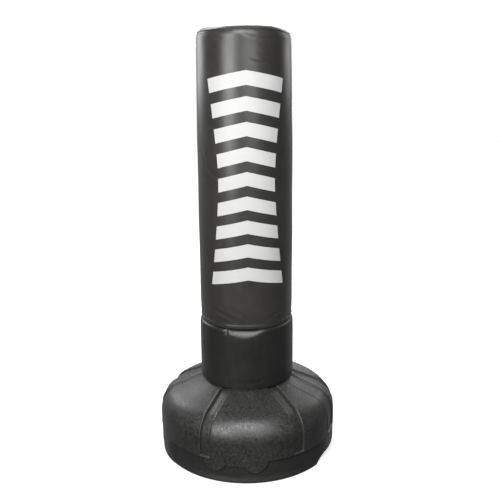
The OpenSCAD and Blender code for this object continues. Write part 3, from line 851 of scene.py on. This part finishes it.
def collar_skin(inset, count, **kind):
    """Ring skin of the collar, shaped as its filling leaves it."""
    profile = collar_profile(inset)
    r, z, az = profile[:, :1], profile[:, 1:], turns(count)[None, :]
    outer = smooth((r - 112 * MM) / (34 * MM))
    return shell(around(az, r + collar_push(az, z) * outer, z - 0.3 * MM * outer), loop=True, **kind)


def build_collar():
    """The collar's sleeve, over its foam."""
    sleeve = add_piece("collar_sleeve", [collar_skin(0, 360), collar_skin(COVER_T, 360, hollow=True)],
                       "base", COLLAR_VINYL)
    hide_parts("collar_cover")
    pad = add_piece("collar_pad", [collar_skin(COVER_T + 0.6 * MM, 180)], "base", FOAM)
    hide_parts("collar_foam")


def build_collar_flap():
    """Overlap at the back of the collar, held by a hook strip, with its edges turned and sewn."""
    low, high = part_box("collar_closure")[0].z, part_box("collar_closure")[1].z
    half = asin(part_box("collar_closure")[1].x / (COLLAR_R + 1.6 * MM))
    seam = 8.5 * MM
    across = np.linspace(-1, 1, 25)
    heights = np.linspace(low, high, 40)
    az = pi + half * across[None, :]
    edge = np.minimum(half * COLLAR_R * (1 - np.abs(across))[None, :],
                      np.minimum(heights - low, high - heights)[:, None])
    thick = 0.35 * MM + 1.25 * MM * smooth(edge / (1.6 * MM))
    thick = thick + 0.35 * MM * bell(edge - 4.5 * MM, 3 * MM)
    thick = thick - 0.55 * MM * bell(edge - seam, 1.1 * MM)
    waves = 0.35 * MM * ripple(az, heights[:, None], 31, tallest=30.0) * smooth(edge / (10 * MM))
    outer = around(az, COLLAR_R + 0.15 * MM + thick + waves, heights[:, None])
    inner = around(az, COLLAR_R - 0.9 * MM, heights[:, None])
    strip = np.concatenate([outer, inner[:, ::-1]], 1)
    middle = np.broadcast_to(strip.mean(1, keepdims=True), strip.shape)
    closed = np.concatenate([middle[:1], strip, middle[-1:]])
    flap = add_piece("collar_flap", [shell(closed, first_pole=True, last_pole=True)],
                     "base", COLLAR_VINYL)
    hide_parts("collar_closure")
    margin = half - seam / COLLAR_R
    corners = [(-margin, low + seam), (margin, low + seam), (margin, high - seam), (-margin, high - seam)]
    paths = []
    for (a0, z0), (a1, z1) in zip(corners, corners[1:] + corners[:1]):
        line = np.linspace(0, 1, 12)
        turn = pi + a0 + (a1 - a0) * line
        paths.append((around(turn, COLLAR_R + 1.35 * MM, z0 + (z1 - z0) * line), around(turn, 1.0, 0.0)))
    add_piece("collar_flap_stitches", stitches(paths), "base", THREAD)


# --- Bag ---
def bag_radius(z):
    """Plain radius of the bag's side at a height, with the soft edge that rolls in to the top seam."""
    edge = np.clip((z - BAG_SEAM_Z) / (TOP_SEAM_Z - BAG_SEAM_Z), 0, 1)
    side = np.clip((z - BAG_Z) / (BAG_SEAM_Z - BAG_Z), None, 1)
    return BAG_LOW_R + (BAG_HIGH_R - BAG_LOW_R) * side - 5.5 * MM * edge**2.6


def top_height(r):
    """Height of the filled top panel at a radius: nearly level, and full out to the seam."""
    return CROWN_Z + 2 * MM - 3.6 * MM * (r / 0.108) ** 2 - 12 * MM * (r / TOP_SEAM_R) ** 11.6


# Height and how far the filling swells the cover there, in mm
FILLED = [(474, 0.0), (490, 0.6), (530, 1.8), (580, 2.2), (700, 2.5), (880, 2.3), (1075, 1.5), (1205, 0.2),
          (1290, -1.5), (1340, -2.2), (1386, -2.5)]
SOFT_FOLDS = [
    # path in (degrees, mm), width and depth in mm
    ([(-2, 1399), (5, 1391), (13, 1383), (23, 1370)], 5.0, 0.7),
    ([(12, 1394), (20, 1384), (33, 1379)], 4.0, 0.7),
    ([(-42, 1398), (-33, 1386), (-24, 1383)], 4.0, 0.6),
    ([(5, 1321), (10, 1315), (16, 1311), (25, 1306)], 5.0, 0.9),
    ([(17, 1338), (24, 1331), (34, 1330)], 5.0, 0.6),
    ([(-64, 1062), (-57, 1030), (-50, 998), (-41, 976), (-28, 958)], 6.0, 1.3),
    ([(-70, 980), (-60, 962), (-47, 955)], 6.0, 0.9),
    ([(-60, 540), (-50, 532), (-28, 517), (-9, 496)], 6.0, 0.8),
    ([(62, 534), (50, 524), (36, 511), (20, 498)], 6.0, 0.8),
    ([(-20, 540), (-6, 520), (6, 498)], 7.0, 0.4),
    ([(-75, 500), (-58, 492), (-40, 494)], 4.0, 0.6),
    ([(80, 505), (66, 495), (50, 496)], 4.0, 0.6),
    ([(128, 1366), (140, 1350), (148, 1322)], 6.0, 1.0),
    ([(-150, 1360), (-141, 1345), (-128, 1338)], 5.0, 0.8),
    ([(160, 1180), (152, 1150), (150, 1110)], 6.0, 0.9),
    ([(-158, 900), (-150, 872), (-149, 835)], 6.0, 0.9),
    ([(150, 640), (158, 610), (160, 570)], 6.0, 0.9),
    ([(-120, 540), (-108, 520), (-92, 508)], 6.0, 0.8),
    ([(112, 530), (124, 514), (141, 508)], 6.0, 0.8),
    ([(96, 1380), (104, 1372), (116, 1368)], 5.0, 0.7),
    ([(-100, 1376), (-90, 1370), (-80, 1371)], 5.0, 0.6),
]


def top_sag(az, r, z):
    """How far the top has settled: a little all over, and more at its right edge."""
    right = smooth((r * np.sin(az) - 70 * MM) / (75 * MM))
    return -smooth((z - 1.375) / 0.03) * (2.5 * MM + 6 * MM * right)


# Height above which the side rolls in to the seam, with no waves in it
ROLL_Z = 1392 * MM


def bag_push(az, z):
    """How far the filled cover stands out from its plain shape: slow waves, settling and folds."""
    body = smooth((z - BAG_Z - 10 * MM) / (50 * MM)) * smooth((ROLL_Z - z) / (40 * MM))
    push = 0.75 * MM * ripple(az, z, 5, tallest=7.0) * body
    push = push + 0.45 * MM * ripple(az, z, 6, waves=9, lowest=5, tallest=26.0) * body
    push = push + MM * np.interp(z, [h * MM for h, _ in FILLED], [out for _, out in FILLED])
    for path, width, depth in SOFT_FOLDS:
        push = push + crease(az, z, BAG_HIGH_R, path, width * MM, depth * MM)
    tuck = bell(z - (HEM_Z + 9 * MM), 9 * MM)
    pucker = np.sin(46 * az + 2.0 * np.sin(5 * az)) * 0.5 + 0.5
    push = push - tuck * (0.5 * MM + 0.5 * MM * pucker)
    from_zip = np.degrees(np.abs(np.mod(az, 2 * pi) - pi))
    zip_side = 1 - smooth((from_zip - 6.2) / 7.0)
    return push * (1 - zip_side * smooth((ROLL_Z - z) / (16 * MM)))


def bag_outside():
    """Rows of the cover's outside from under its hem to the top seam."""
    low = bag_radius(BAG_Z)
    rows = [(low - 2.6 * MM, BAG_Z + 0.1 * MM)]
    rows += arc((low - 2.4 * MM, BAG_Z + 2.4 * MM), 2.4 * MM, -75, 0, 5)
    rows += [(low + 0.1 * MM, z) for z in np.linspace(BAG_Z + 4 * MM, HEM_Z - 3.4 * MM, 5)]
    rows += [(low - 0.3 * MM, HEM_Z - 2 * MM), (low - 1.0 * MM, HEM_Z - 0.8 * MM),
             (low - 1.0 * MM, HEM_Z + 0.8 * MM), (low - 0.2 * MM, HEM_Z + 2.0 * MM)]
    # Rows lie closer where the folds are, near the hem and the top
    low_folds, high_folds = 0.56, 1.29
    heights = np.concatenate([np.arange(HEM_Z + 4 * MM, low_folds, 2.4 * MM),
                              np.arange(low_folds, high_folds, 6 * MM),
                              np.arange(high_folds, BAG_SEAM_Z - 1 * MM, 2.6 * MM)])
    rows += [(bag_radius(z), z) for z in heights]
    rows += [(bag_radius(z), z) for z in np.linspace(BAG_SEAM_Z, TOP_SEAM_Z - 1.6 * MM, 14)]
    rows += [(TOP_SEAM_R + 2.6 * MM, TOP_SEAM_Z - 0.9 * MM), (TOP_SEAM_R + 1.6 * MM, TOP_SEAM_Z - 0.9 * MM)]
    return rows


def build_bag_cover():
    """The side of the bag's cover: its filled skin, and a plainer lining inside."""
    outside = np.array(bag_outside())
    inside = [(bag_radius(z) - COVER_T, z) for z in np.linspace(TOP_SEAM_Z - 2.2 * MM, 1.36, 8)]
    inside += [(bag_radius(z) - COVER_T, z) for z in np.linspace(1.33, BAG_Z + 4 * MM, 30)]
    inside += [(BAG_LOW_R - COVER_T - 1.4 * MM, BAG_Z + 1.6 * MM)]
    az = turns(540)[None, :]
    r, z = outside[:, :1], outside[:, 1:]
    settled = 0.35 * MM * np.sin(4 * az + 1) * smooth((0.50 - z) / 0.03) + top_sag(az, r, z)
    skin = around(az, r + bag_push(az, z), z + settled)
    inside = np.array(inside)
    r, z = inside[:, :1], inside[:, 1:]
    lining = around(az, r + np.minimum(bag_push(az, z), 0), z + top_sag(az, r, z))
    sleeve = add_piece("bag_sleeve", [shell(np.concatenate([skin, lining]), loop=True)],
                       "bag", BAG_VINYL)
    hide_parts("cover_side")


def top_rows(inset, edge=1.8 * MM):
    """The top panel's section from near the seam in to the crown, sunk by an inset."""
    radii = [TOP_SEAM_R - edge, 0.1425, 0.140, 0.137, 0.134, 0.131, 0.128, 0.124, 0.119, 0.112, 0.103,
             0.092, 0.079, 0.064, 0.048, 0.032, 0.016, 0.0]
    return [(r, top_height(r) - inset) for r in radii]


def build_top_panel():
    """The round top of the cover, puckered where it is sewn in."""
    lip = [(TOP_SEAM_R - 0.4 * MM, TOP_SEAM_Z - 1.4 * MM), (TOP_SEAM_R - 0.7 * MM, TOP_SEAM_Z + 0.2 * MM)]
    rows = np.array(top_rows(COVER_T, 2.6 * MM)[::-1] + lip + top_rows(0))
    az = turns(360)[None, :]
    r, z = rows[:, :1], rows[:, 1:]
    reach = smooth(r / (60 * MM)) * smooth((146 * MM - r) / (8 * MM))
    pucker = np.sin(58 * az + 3 * np.sin(4 * az)) * bell(r - 138 * MM, 6 * MM)
    lift = reach * (0.9 * MM * ripple(az, r * 6, 9, tallest=6.0) - 0.5 * MM) + 0.35 * MM * pucker
    lift = lift * smooth((145 * MM - r) / (4 * MM))
    skin = around(az, r, z + lift + top_sag(az, r, z))
    panel = add_piece("bag_top_panel", [shell(skin, first_pole=True, last_pole=True)],
                      "bag", BAG_VINYL)
    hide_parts("cover_top")


def build_base_panel():
    """Disc under the bag with the hole that takes the post, its edges turned in."""
    low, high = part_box("cover_bottom")
    outer, hole = high.x - 1.2 * MM, 50.6 * MM
    top, under = high.z, low.z + 0.25 * MM
    rows = [(hole, top - 0.5 * MM), (hole + 0.4 * MM, top), (0.08, top), (0.12, top),
            (outer - 0.4 * MM, top), (outer, top - 0.5 * MM), (outer, under + 0.5 * MM),
            (outer - 0.5 * MM, under)]
    rows += [(r, under) for r in (0.145, 0.13, 0.115, 0.10, 0.085, 0.07, 0.060)]
    rows += [(0.057, under - 0.12 * MM), (0.0535, under - 0.2 * MM), (hole + 0.6 * MM, under),
             (hole, under + 0.5 * MM)]
    rows = np.array(rows)
    az = turns(180)[None, :]
    panel = add_piece("bag_base_panel", [shell(around(az, rows[:, :1], rows[:, 1:]), loop=True)],
                      "bag", BAG_VINYL)
    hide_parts("cover_bottom")


def ring_cord(radius, height, lean, wave=0.0):
    """Round cord that runs round the bag, with a slight unevenness."""
    az = turns(360)[None, :]
    spin = turns(12)[:, None]
    size = WELT_R * (1 + 0.05 * np.sin(37 * az))
    out = size * np.cos(spin)
    up = size * np.sin(spin)
    a = radians(lean)
    r = radius + out * cos(a) - up * sin(a)
    z = height + out * sin(a) + up * cos(a) + wave * np.sin(4 * az + 1)
    return shell(around(az, r, z + top_sag(az, radius, height)), loop=True)


def build_piping():
    """The cords in the top seam and in the hem."""
    top = ring_cord(TOP_SEAM_R + 0.2 * MM, TOP_SEAM_Z - 0.1 * MM, 55)
    hem = ring_cord(bag_radius(HEM_Z) - 0.35 * MM, HEM_Z, 0, wave=0.3 * MM)
    for name, ring, node in (("bag_top_piping", top, "top_welt"), ("bag_hem_piping", hem, "bottom_welt")):
        piece = add_piece(name, [ring], "bag", BAG_VINYL)
        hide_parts(node)


STITCH_LIFT = 0.1 * MM


def side_line(az, z):
    """Line just off the filled side at a height, with its outward normals."""
    height = np.full_like(az, z)
    r = bag_radius(z) + bag_push(az, height) + STITCH_LIFT
    return around(az, r, height + top_sag(az, r, height)), around(az, 1.0, 0.0)


def build_bag_stitches():
    """Stitches beside the hem, under the top seam, and in two rows on the top panel."""
    az = np.linspace(0, 2 * pi, 301)
    paths = [side_line(az, HEM_Z + 5.5 * MM), side_line(az, TOP_SEAM_Z - 8 * MM)]
    for r in (0.140, 0.134):
        z = top_height(r)
        paths.append((around(az, r, z + top_sag(az, r, z) + STITCH_LIFT), around(az, 0.5, 0.87)))
    add_piece("bag_stitches", stitches(paths), "bag", THREAD)


def build_bag_foam():
    """The foam round the core tube, and the pad over it that fills the top."""
    lining = COVER_T + 0.7 * MM
    hole = 48.8 * MM
    low, high = BAG_Z + lining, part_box("bag_foam")[1].z
    neck, step = 55 * MM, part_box("core_tube")[1].z - 0.4 * MM
    rows = [(hole, low + 2 * MM), (hole + 2 * MM, low), (BAG_LOW_R - 3 * lining, low),
            (BAG_LOW_R - lining, low + 4 * MM)]
    rows += [(bag_radius(z) - lining - 1.6 * MM, z) for z in np.linspace(0.52, 1.20, 14)]
    rows += [(bag_radius(z) - lining - 3.6 * MM, z) for z in (1.26, 1.32, 1.37)]
    rows += [(BAG_HIGH_R - lining - 4 * MM, high - 3 * MM), (BAG_HIGH_R - lining - 7 * MM, high),
             (neck + 2 * MM, high), (neck, high - 1 * MM), (neck, step), (hole, step)]
    core = add_piece("bag_foam_core", [lathe(rows, 120, loop=True)], "bag", FOAM)
    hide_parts("bag_foam")
    low = high + 0.4 * MM
    rows = [(0, low), (0.08, low), (0.1445, low), (0.1465, high + 3 * MM), (0.1455, TOP_SEAM_Z - 19 * MM)]
    rows += [(r - 1 * MM if r else 0, z) for r, z in top_rows(lining + 9.5 * MM, 4 * MM)]
    crown = add_piece("bag_crown_foam", [lathe(rows, 120, first_pole=True, last_pole=True)],
                      "bag", FOAM)
    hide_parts("crown_pad")


# --- Print ---
PRINT_LOW_Z, PRINT_HIGH_Z = 614 * MM, 1290 * MM
PRINT_ROWS = 9
PRINT_BAR = 43 * MM
PRINT_RISE = 24 * MM
PRINT_TURN = radians(2.5)
# Half width of the printed field, in degrees, at its foot, waist and head
PRINT_HALF = (47.0, 34.5, 51.0)
INK_T = 0.35 * MM


def print_half(z):
    """Half width of the printed field at a height, in radians: narrow at the waist."""
    t = np.clip((z - PRINT_LOW_Z) / (PRINT_HIGH_Z - PRINT_LOW_Z), 0, 1)
    low, waist, high = PRINT_HALF
    side = np.where(t < 0.5, low, high)
    return np.radians(waist + (side - waist) * np.abs(2 * t - 1) ** 1.6)


def print_bar(middle_low):
    """One chevron as a thin closed skin that lies on the filled side."""
    across = np.linspace(-1, 1, 61)[None, :]
    up = np.linspace(0, 1, 11)[:, None]
    z = middle_low + PRINT_BAR * up + PRINT_RISE * (1 - np.abs(across))
    az = PRINT_TURN + across * print_half(z)
    r = bag_radius(z) + bag_push(az, z)
    out = around(az, r + INK_T, z)
    under = around(az, r - 0.5 * MM, z)
    return strip_shell(out, under)


def build_print():
    """Chevrons stacked up the front."""
    pitch = (PRINT_HIGH_Z - PRINT_LOW_Z - PRINT_BAR - PRINT_RISE) / (PRINT_ROWS - 1)
    bars = [print_bar(PRINT_LOW_Z + k * pitch) for k in range(PRINT_ROWS)]
    add_piece("bag_print", bars, "bag", INK, sharp=60)


# --- Zip ---
# Share of the tape's half width at which it is sewn on
TAPE_SEAM = 0.62
TOOTH_PITCH, TOOTH_TALL = 2.4 * MM, 1.5 * MM
# A tooth's outline, from its head out along the side that the tape holds, in shares of its size
TOOTH_OUTLINE = [(0.0, 0.5), (0.35, 1.0), (1.0, 1.0), (1.0, -1.0), (0.35, -1.0), (0.0, -0.5)]
# Height over the cover and size of the outline, at the tooth's foot, shoulder and top
TOOTH_LAYERS = [(0.85 * MM, 0.96), (2.1 * MM, 1.0), (2.65 * MM, 0.78)]


def zip_tooth(middle, side):
    """One tooth at a height, reaching in from a side (-1 or 1)."""
    outline = [(side * (-0.9 * MM + 3.3 * MM * u), middle + w * TOOTH_TALL / 2) for u, w in TOOTH_OUTLINE]
    ring = np.array(outline)
    layers = []
    for lift, shrink in TOOTH_LAYERS:
        x = ring[:, 0].mean() + (ring[:, 0] - ring[:, 0].mean()) * shrink
        height = middle + (ring[:, 1] - middle) * shrink
        layers.append(np.stack([x, np.full(len(ring), bag_radius(middle) + lift), height], -1))
    foot, top = (np.broadcast_to(layer.mean(0), layer.shape) for layer in (layers[0], layers[-1]))
    return shell(np.array([foot, *layers, top]), first_pole=True, last_pole=True)


def build_zip():
    """The zip up the back: its tape, its teeth, and the stitches that hold it."""
    across = np.linspace(-1, 1, 31)
    heights = np.linspace(ZIP_LOW_Z, ZIP_HIGH_Z, 260)
    half = asin(ZIP_HALF_W / BAG_HIGH_R)
    az = pi + half * across[None, :]
    z = heights[:, None]
    sewn = 0.4 * MM * bell(np.abs(across) - TAPE_SEAM, 0.05)[None, :]
    wave = 0.12 * MM * np.sin(z * 260 + 3 * across[None, :]) * smooth((np.abs(across) - 0.4) / 0.3)[None, :]
    top = around(az, bag_radius(z) + 0.95 * MM - sewn + wave, z)
    under = around(az, bag_radius(z) - 0.4 * MM, z)
    tape = add_piece("zip_webbing_tape", [strip_shell(top, under)], "bag", TAPE, sharp=60)
    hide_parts("zip_tape")

    count = int((TEETH_HIGH_Z - TEETH_LOW_Z) // TOOTH_PITCH)
    shells = [zip_tooth(TEETH_LOW_Z + (k + 0.5) * TOOTH_PITCH, 1 if k % 2 else -1) for k in range(count)]
    teeth = add_piece("zip_teeth", shells, "bag", TEETH, sharp=30)
    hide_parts("zip_coil")

    paths = []
    for x in (-TAPE_SEAM, TAPE_SEAM):
        line = np.linspace(ZIP_LOW_Z + 4 * MM, ZIP_HIGH_Z - 4 * MM, 200)
        turn = np.full_like(line, pi + half * x)
        paths.append((around(turn, bag_radius(line) + 0.75 * MM, line), around(turn, 1.0, 0.0)))
    for z0 in (ZIP_LOW_Z + 4 * MM, ZIP_HIGH_Z - 4 * MM):
        turn = pi + half * np.linspace(-TAPE_SEAM, TAPE_SEAM, 10)
        paths.append((around(turn, bag_radius(z0) + 1.05 * MM, z0), around(turn, 1.0, 0.0)))
    add_piece("zip_stitches", stitches(paths), "bag", THREAD)


# --- CAD nodes that keep their shape ---
# Material of each node, and the bevel that eases its edges, in mm
NODE_FINISH = {
    "ballast_fill": (SAND, 0),
    "filler_cap": (CAP_PLASTIC, 0.7),
    "filler_gasket": (RUBBER, 0),
    "neck_post": (POST_PAINT, 0),
    "post_foot_plug": (CAP_PLASTIC, 0),
    "post_retainer": (CAP_PLASTIC, 0.8),
    "retainer_screws": (BRIGHT, 0.4),
    "post_cap": (CAP_PLASTIC, 1.0),
    "height_peg": (BRIGHT, 0.6),
    "peg_ring": (RUBBER, 0),
    "core_tube": (CORE, 0.5),
    "core_top_plug": (CAP_PLASTIC, 0.8),
    "lower_bush": (NYLON, 0.6),
    "upper_bush": (NYLON, 0.6),
    "zip_slider": (ZIP_METAL, 0.5),
    "zip_pull": (ZIP_METAL, 0.35),
    "zip_top_stop": (ZIP_METAL, 0.4),
    "zip_bottom_stop": (ZIP_METAL, 0.4),
}


def finish_nodes():
    """Materials and eased edges for the CAD nodes that keep their shape."""
    for name, (material, ease) in NODE_FINISH.items():
        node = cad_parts[name]
        finish_with(node, material)
        if ease:
            weld = node.modifiers.new("weld", "WELD")
            weld.merge_threshold = 0.01 * MM
            bevel = node.modifiers.new("ease", "BEVEL")
            bevel.width = ease * MM
            bevel.segments = 2
            bevel.limit_method = "ANGLE"
            bevel.angle_limit = radians(40)


# --- Stage, light and camera ---
FLOOR_HALF = 14.0
FLOOR_DROP = 0.4 * MM
# Soft boxes: name, place, target, width, height and brightness
SOFT_BOXES = [
    ("key_box", (-1.55, -2.42, 1.62), (0, 0, 1.15), 1.05, 1.8, 8.5),
    ("fill_box", (0.72, -2.88, 1.75), (0, 0, 1.1), 1.7, 1.5, 3.2),
    ("top_box", (0.0, -2.35, 2.95), (0, -0.1, 0.3), 1.9, 0.9, 12.0),
    ("back_left_box", (-2.3, 1.9, 2.0), (0, 0, 0.6), 1.5, 1.7, 4.0),
    ("back_right_box", (2.3, 1.9, 2.0), (0, 0, 0.6), 1.4, 1.5, 2.0),
    ("rear_box", (0.35, 3.1, 1.9), (0, 0, 0.9), 1.5, 1.8, 5.5),
    ("rear_top_box", (-0.2, 2.3, 3.0), (0, 0.1, 0.3), 1.6, 0.9, 6.0),
]
CAMERA_PLACE = (0.0184, -2.212, 1.220)
# Degrees from looking straight down, and of roll
CAMERA_TILT, CAMERA_ROLL = 76.8, 0.5
CAMERA_LENS = 47.9
# Strength of the world's light from the front and from behind the object
WORLD_FRONT, WORLD_BACK = 0.07, 0.34


def build_floor():
    """Pale floor with a painted glow that grows to white away from the object."""
    mesh = bpy.data.meshes.new("studio_floor")
    s = FLOOR_HALF
    mesh.from_pydata([(-s, -s, 0), (s, -s, 0), (s, s, 0), (-s, s, 0)], [], [(0, 1, 2, 3)])
    floor = put("studio_floor", mesh)
    floor.location.z = -FLOOR_DROP
    f = Finish("pale_floor", Specular_IOR_Level=0.1, Roughness=0.9, Emission_Strength=1.0)
    f.colour(f.ramp(f.noise(3, 3), (0.3, 0.60), (0.7, 0.64)))
    # Painted light: the floor glows, less near the object and fully white far from it
    far = f.node("ShaderNodeVectorMath", {0: f.where}, operation="LENGTH").outputs["Value"]
    glow = f.ramp(f.spread(far, 0.0, 1.0, 0.4, 2.6), (0.0, 0.62), (1.0, 1.0))
    f.tree.links.new(glow, f.shader.inputs["Emission Color"])
    mesh.materials.append(f.material)
    # The floor is there for the camera and the contact shadow, and doesn't light the object from below
    floor.visible_diffuse = False
    floor.visible_glossy = False


def area_light(name, place, target, width, height, radiance):
    """Soft box at a place, turned to a target; radiance is its brightness seen directly."""
    data = bpy.data.lights.new(name, "AREA")
    data.shape = "RECTANGLE"
    data.size, data.size_y = width, height
    data.energy = radiance * width * height * pi
    light = put(name, data)
    light.location = place
    light.visible_camera = False
    light.rotation_euler = (Vector(place) - Vector(target)).to_track_quat("Z", "Y").to_euler()


def build_world():
    """White studio: bright behind the object, dimmer at the front; the camera sees plain white."""
    world = bpy.data.worlds.new("studio")
    bpy.context.scene.world = world
    world.use_nodes = True
    tree = world.node_tree
    nodes, links = tree.nodes, tree.links
    backdrop = nodes["Background"]
    output = nodes["World Output"]
    where = nodes.new("ShaderNodeTexCoord")
    split = nodes.new("ShaderNodeSeparateXYZ")
    links.new(where.outputs["Generated"], split.inputs[0])
    ramp = nodes.new("ShaderNodeMapRange")
    ramp.interpolation_type = "SMOOTHSTEP"
    for socket, value in (("From Min", 0.15), ("From Max", 0.85), ("To Min", WORLD_FRONT),
                          ("To Max", WORLD_BACK)):
        ramp.inputs[socket].default_value = value
    links.new(split.outputs["Y"], ramp.inputs["Value"])
    links.new(ramp.outputs["Result"], backdrop.inputs["Strength"])
    backdrop.inputs["Color"].default_value = (1, 1, 1, 1)
    seen = nodes.new("ShaderNodeBackground")
    seen.inputs["Color"].default_value = (1, 1, 1, 1)
    seen.inputs["Strength"].default_value = 1.0
    path = nodes.new("ShaderNodeLightPath")
    choose = nodes.new("ShaderNodeMixShader")
    links.new(path.outputs["Is Camera Ray"], choose.inputs[0])
    links.new(backdrop.outputs[0], choose.inputs[1])
    links.new(seen.outputs[0], choose.inputs[2])
    links.new(choose.outputs[0], output.inputs["Surface"])


def build_camera():
    data = bpy.data.cameras.new("camera")
    data.lens, data.sensor_width = CAMERA_LENS, 36
    camera = put("camera", data)
    camera.location = CAMERA_PLACE
    camera.rotation_euler = (radians(CAMERA_TILT), radians(CAMERA_ROLL), 0)
    camera.rotation_mode = "XYZ"
    bpy.context.scene.camera = camera


def build_studio():
    build_floor()
    build_world()
    for box in SOFT_BOXES:
        area_light(*box)
    build_camera()
    view = bpy.context.scene.view_settings
    view.view_transform = "Standard"
    view.look = "None"


# --- Build ---
build_base()
build_collar()
build_collar_flap()
build_bag_cover()
build_top_panel()
build_base_panel()
build_piping()
build_bag_stitches()
build_bag_foam()
build_print()
build_zip()
finish_nodes()
build_studio()
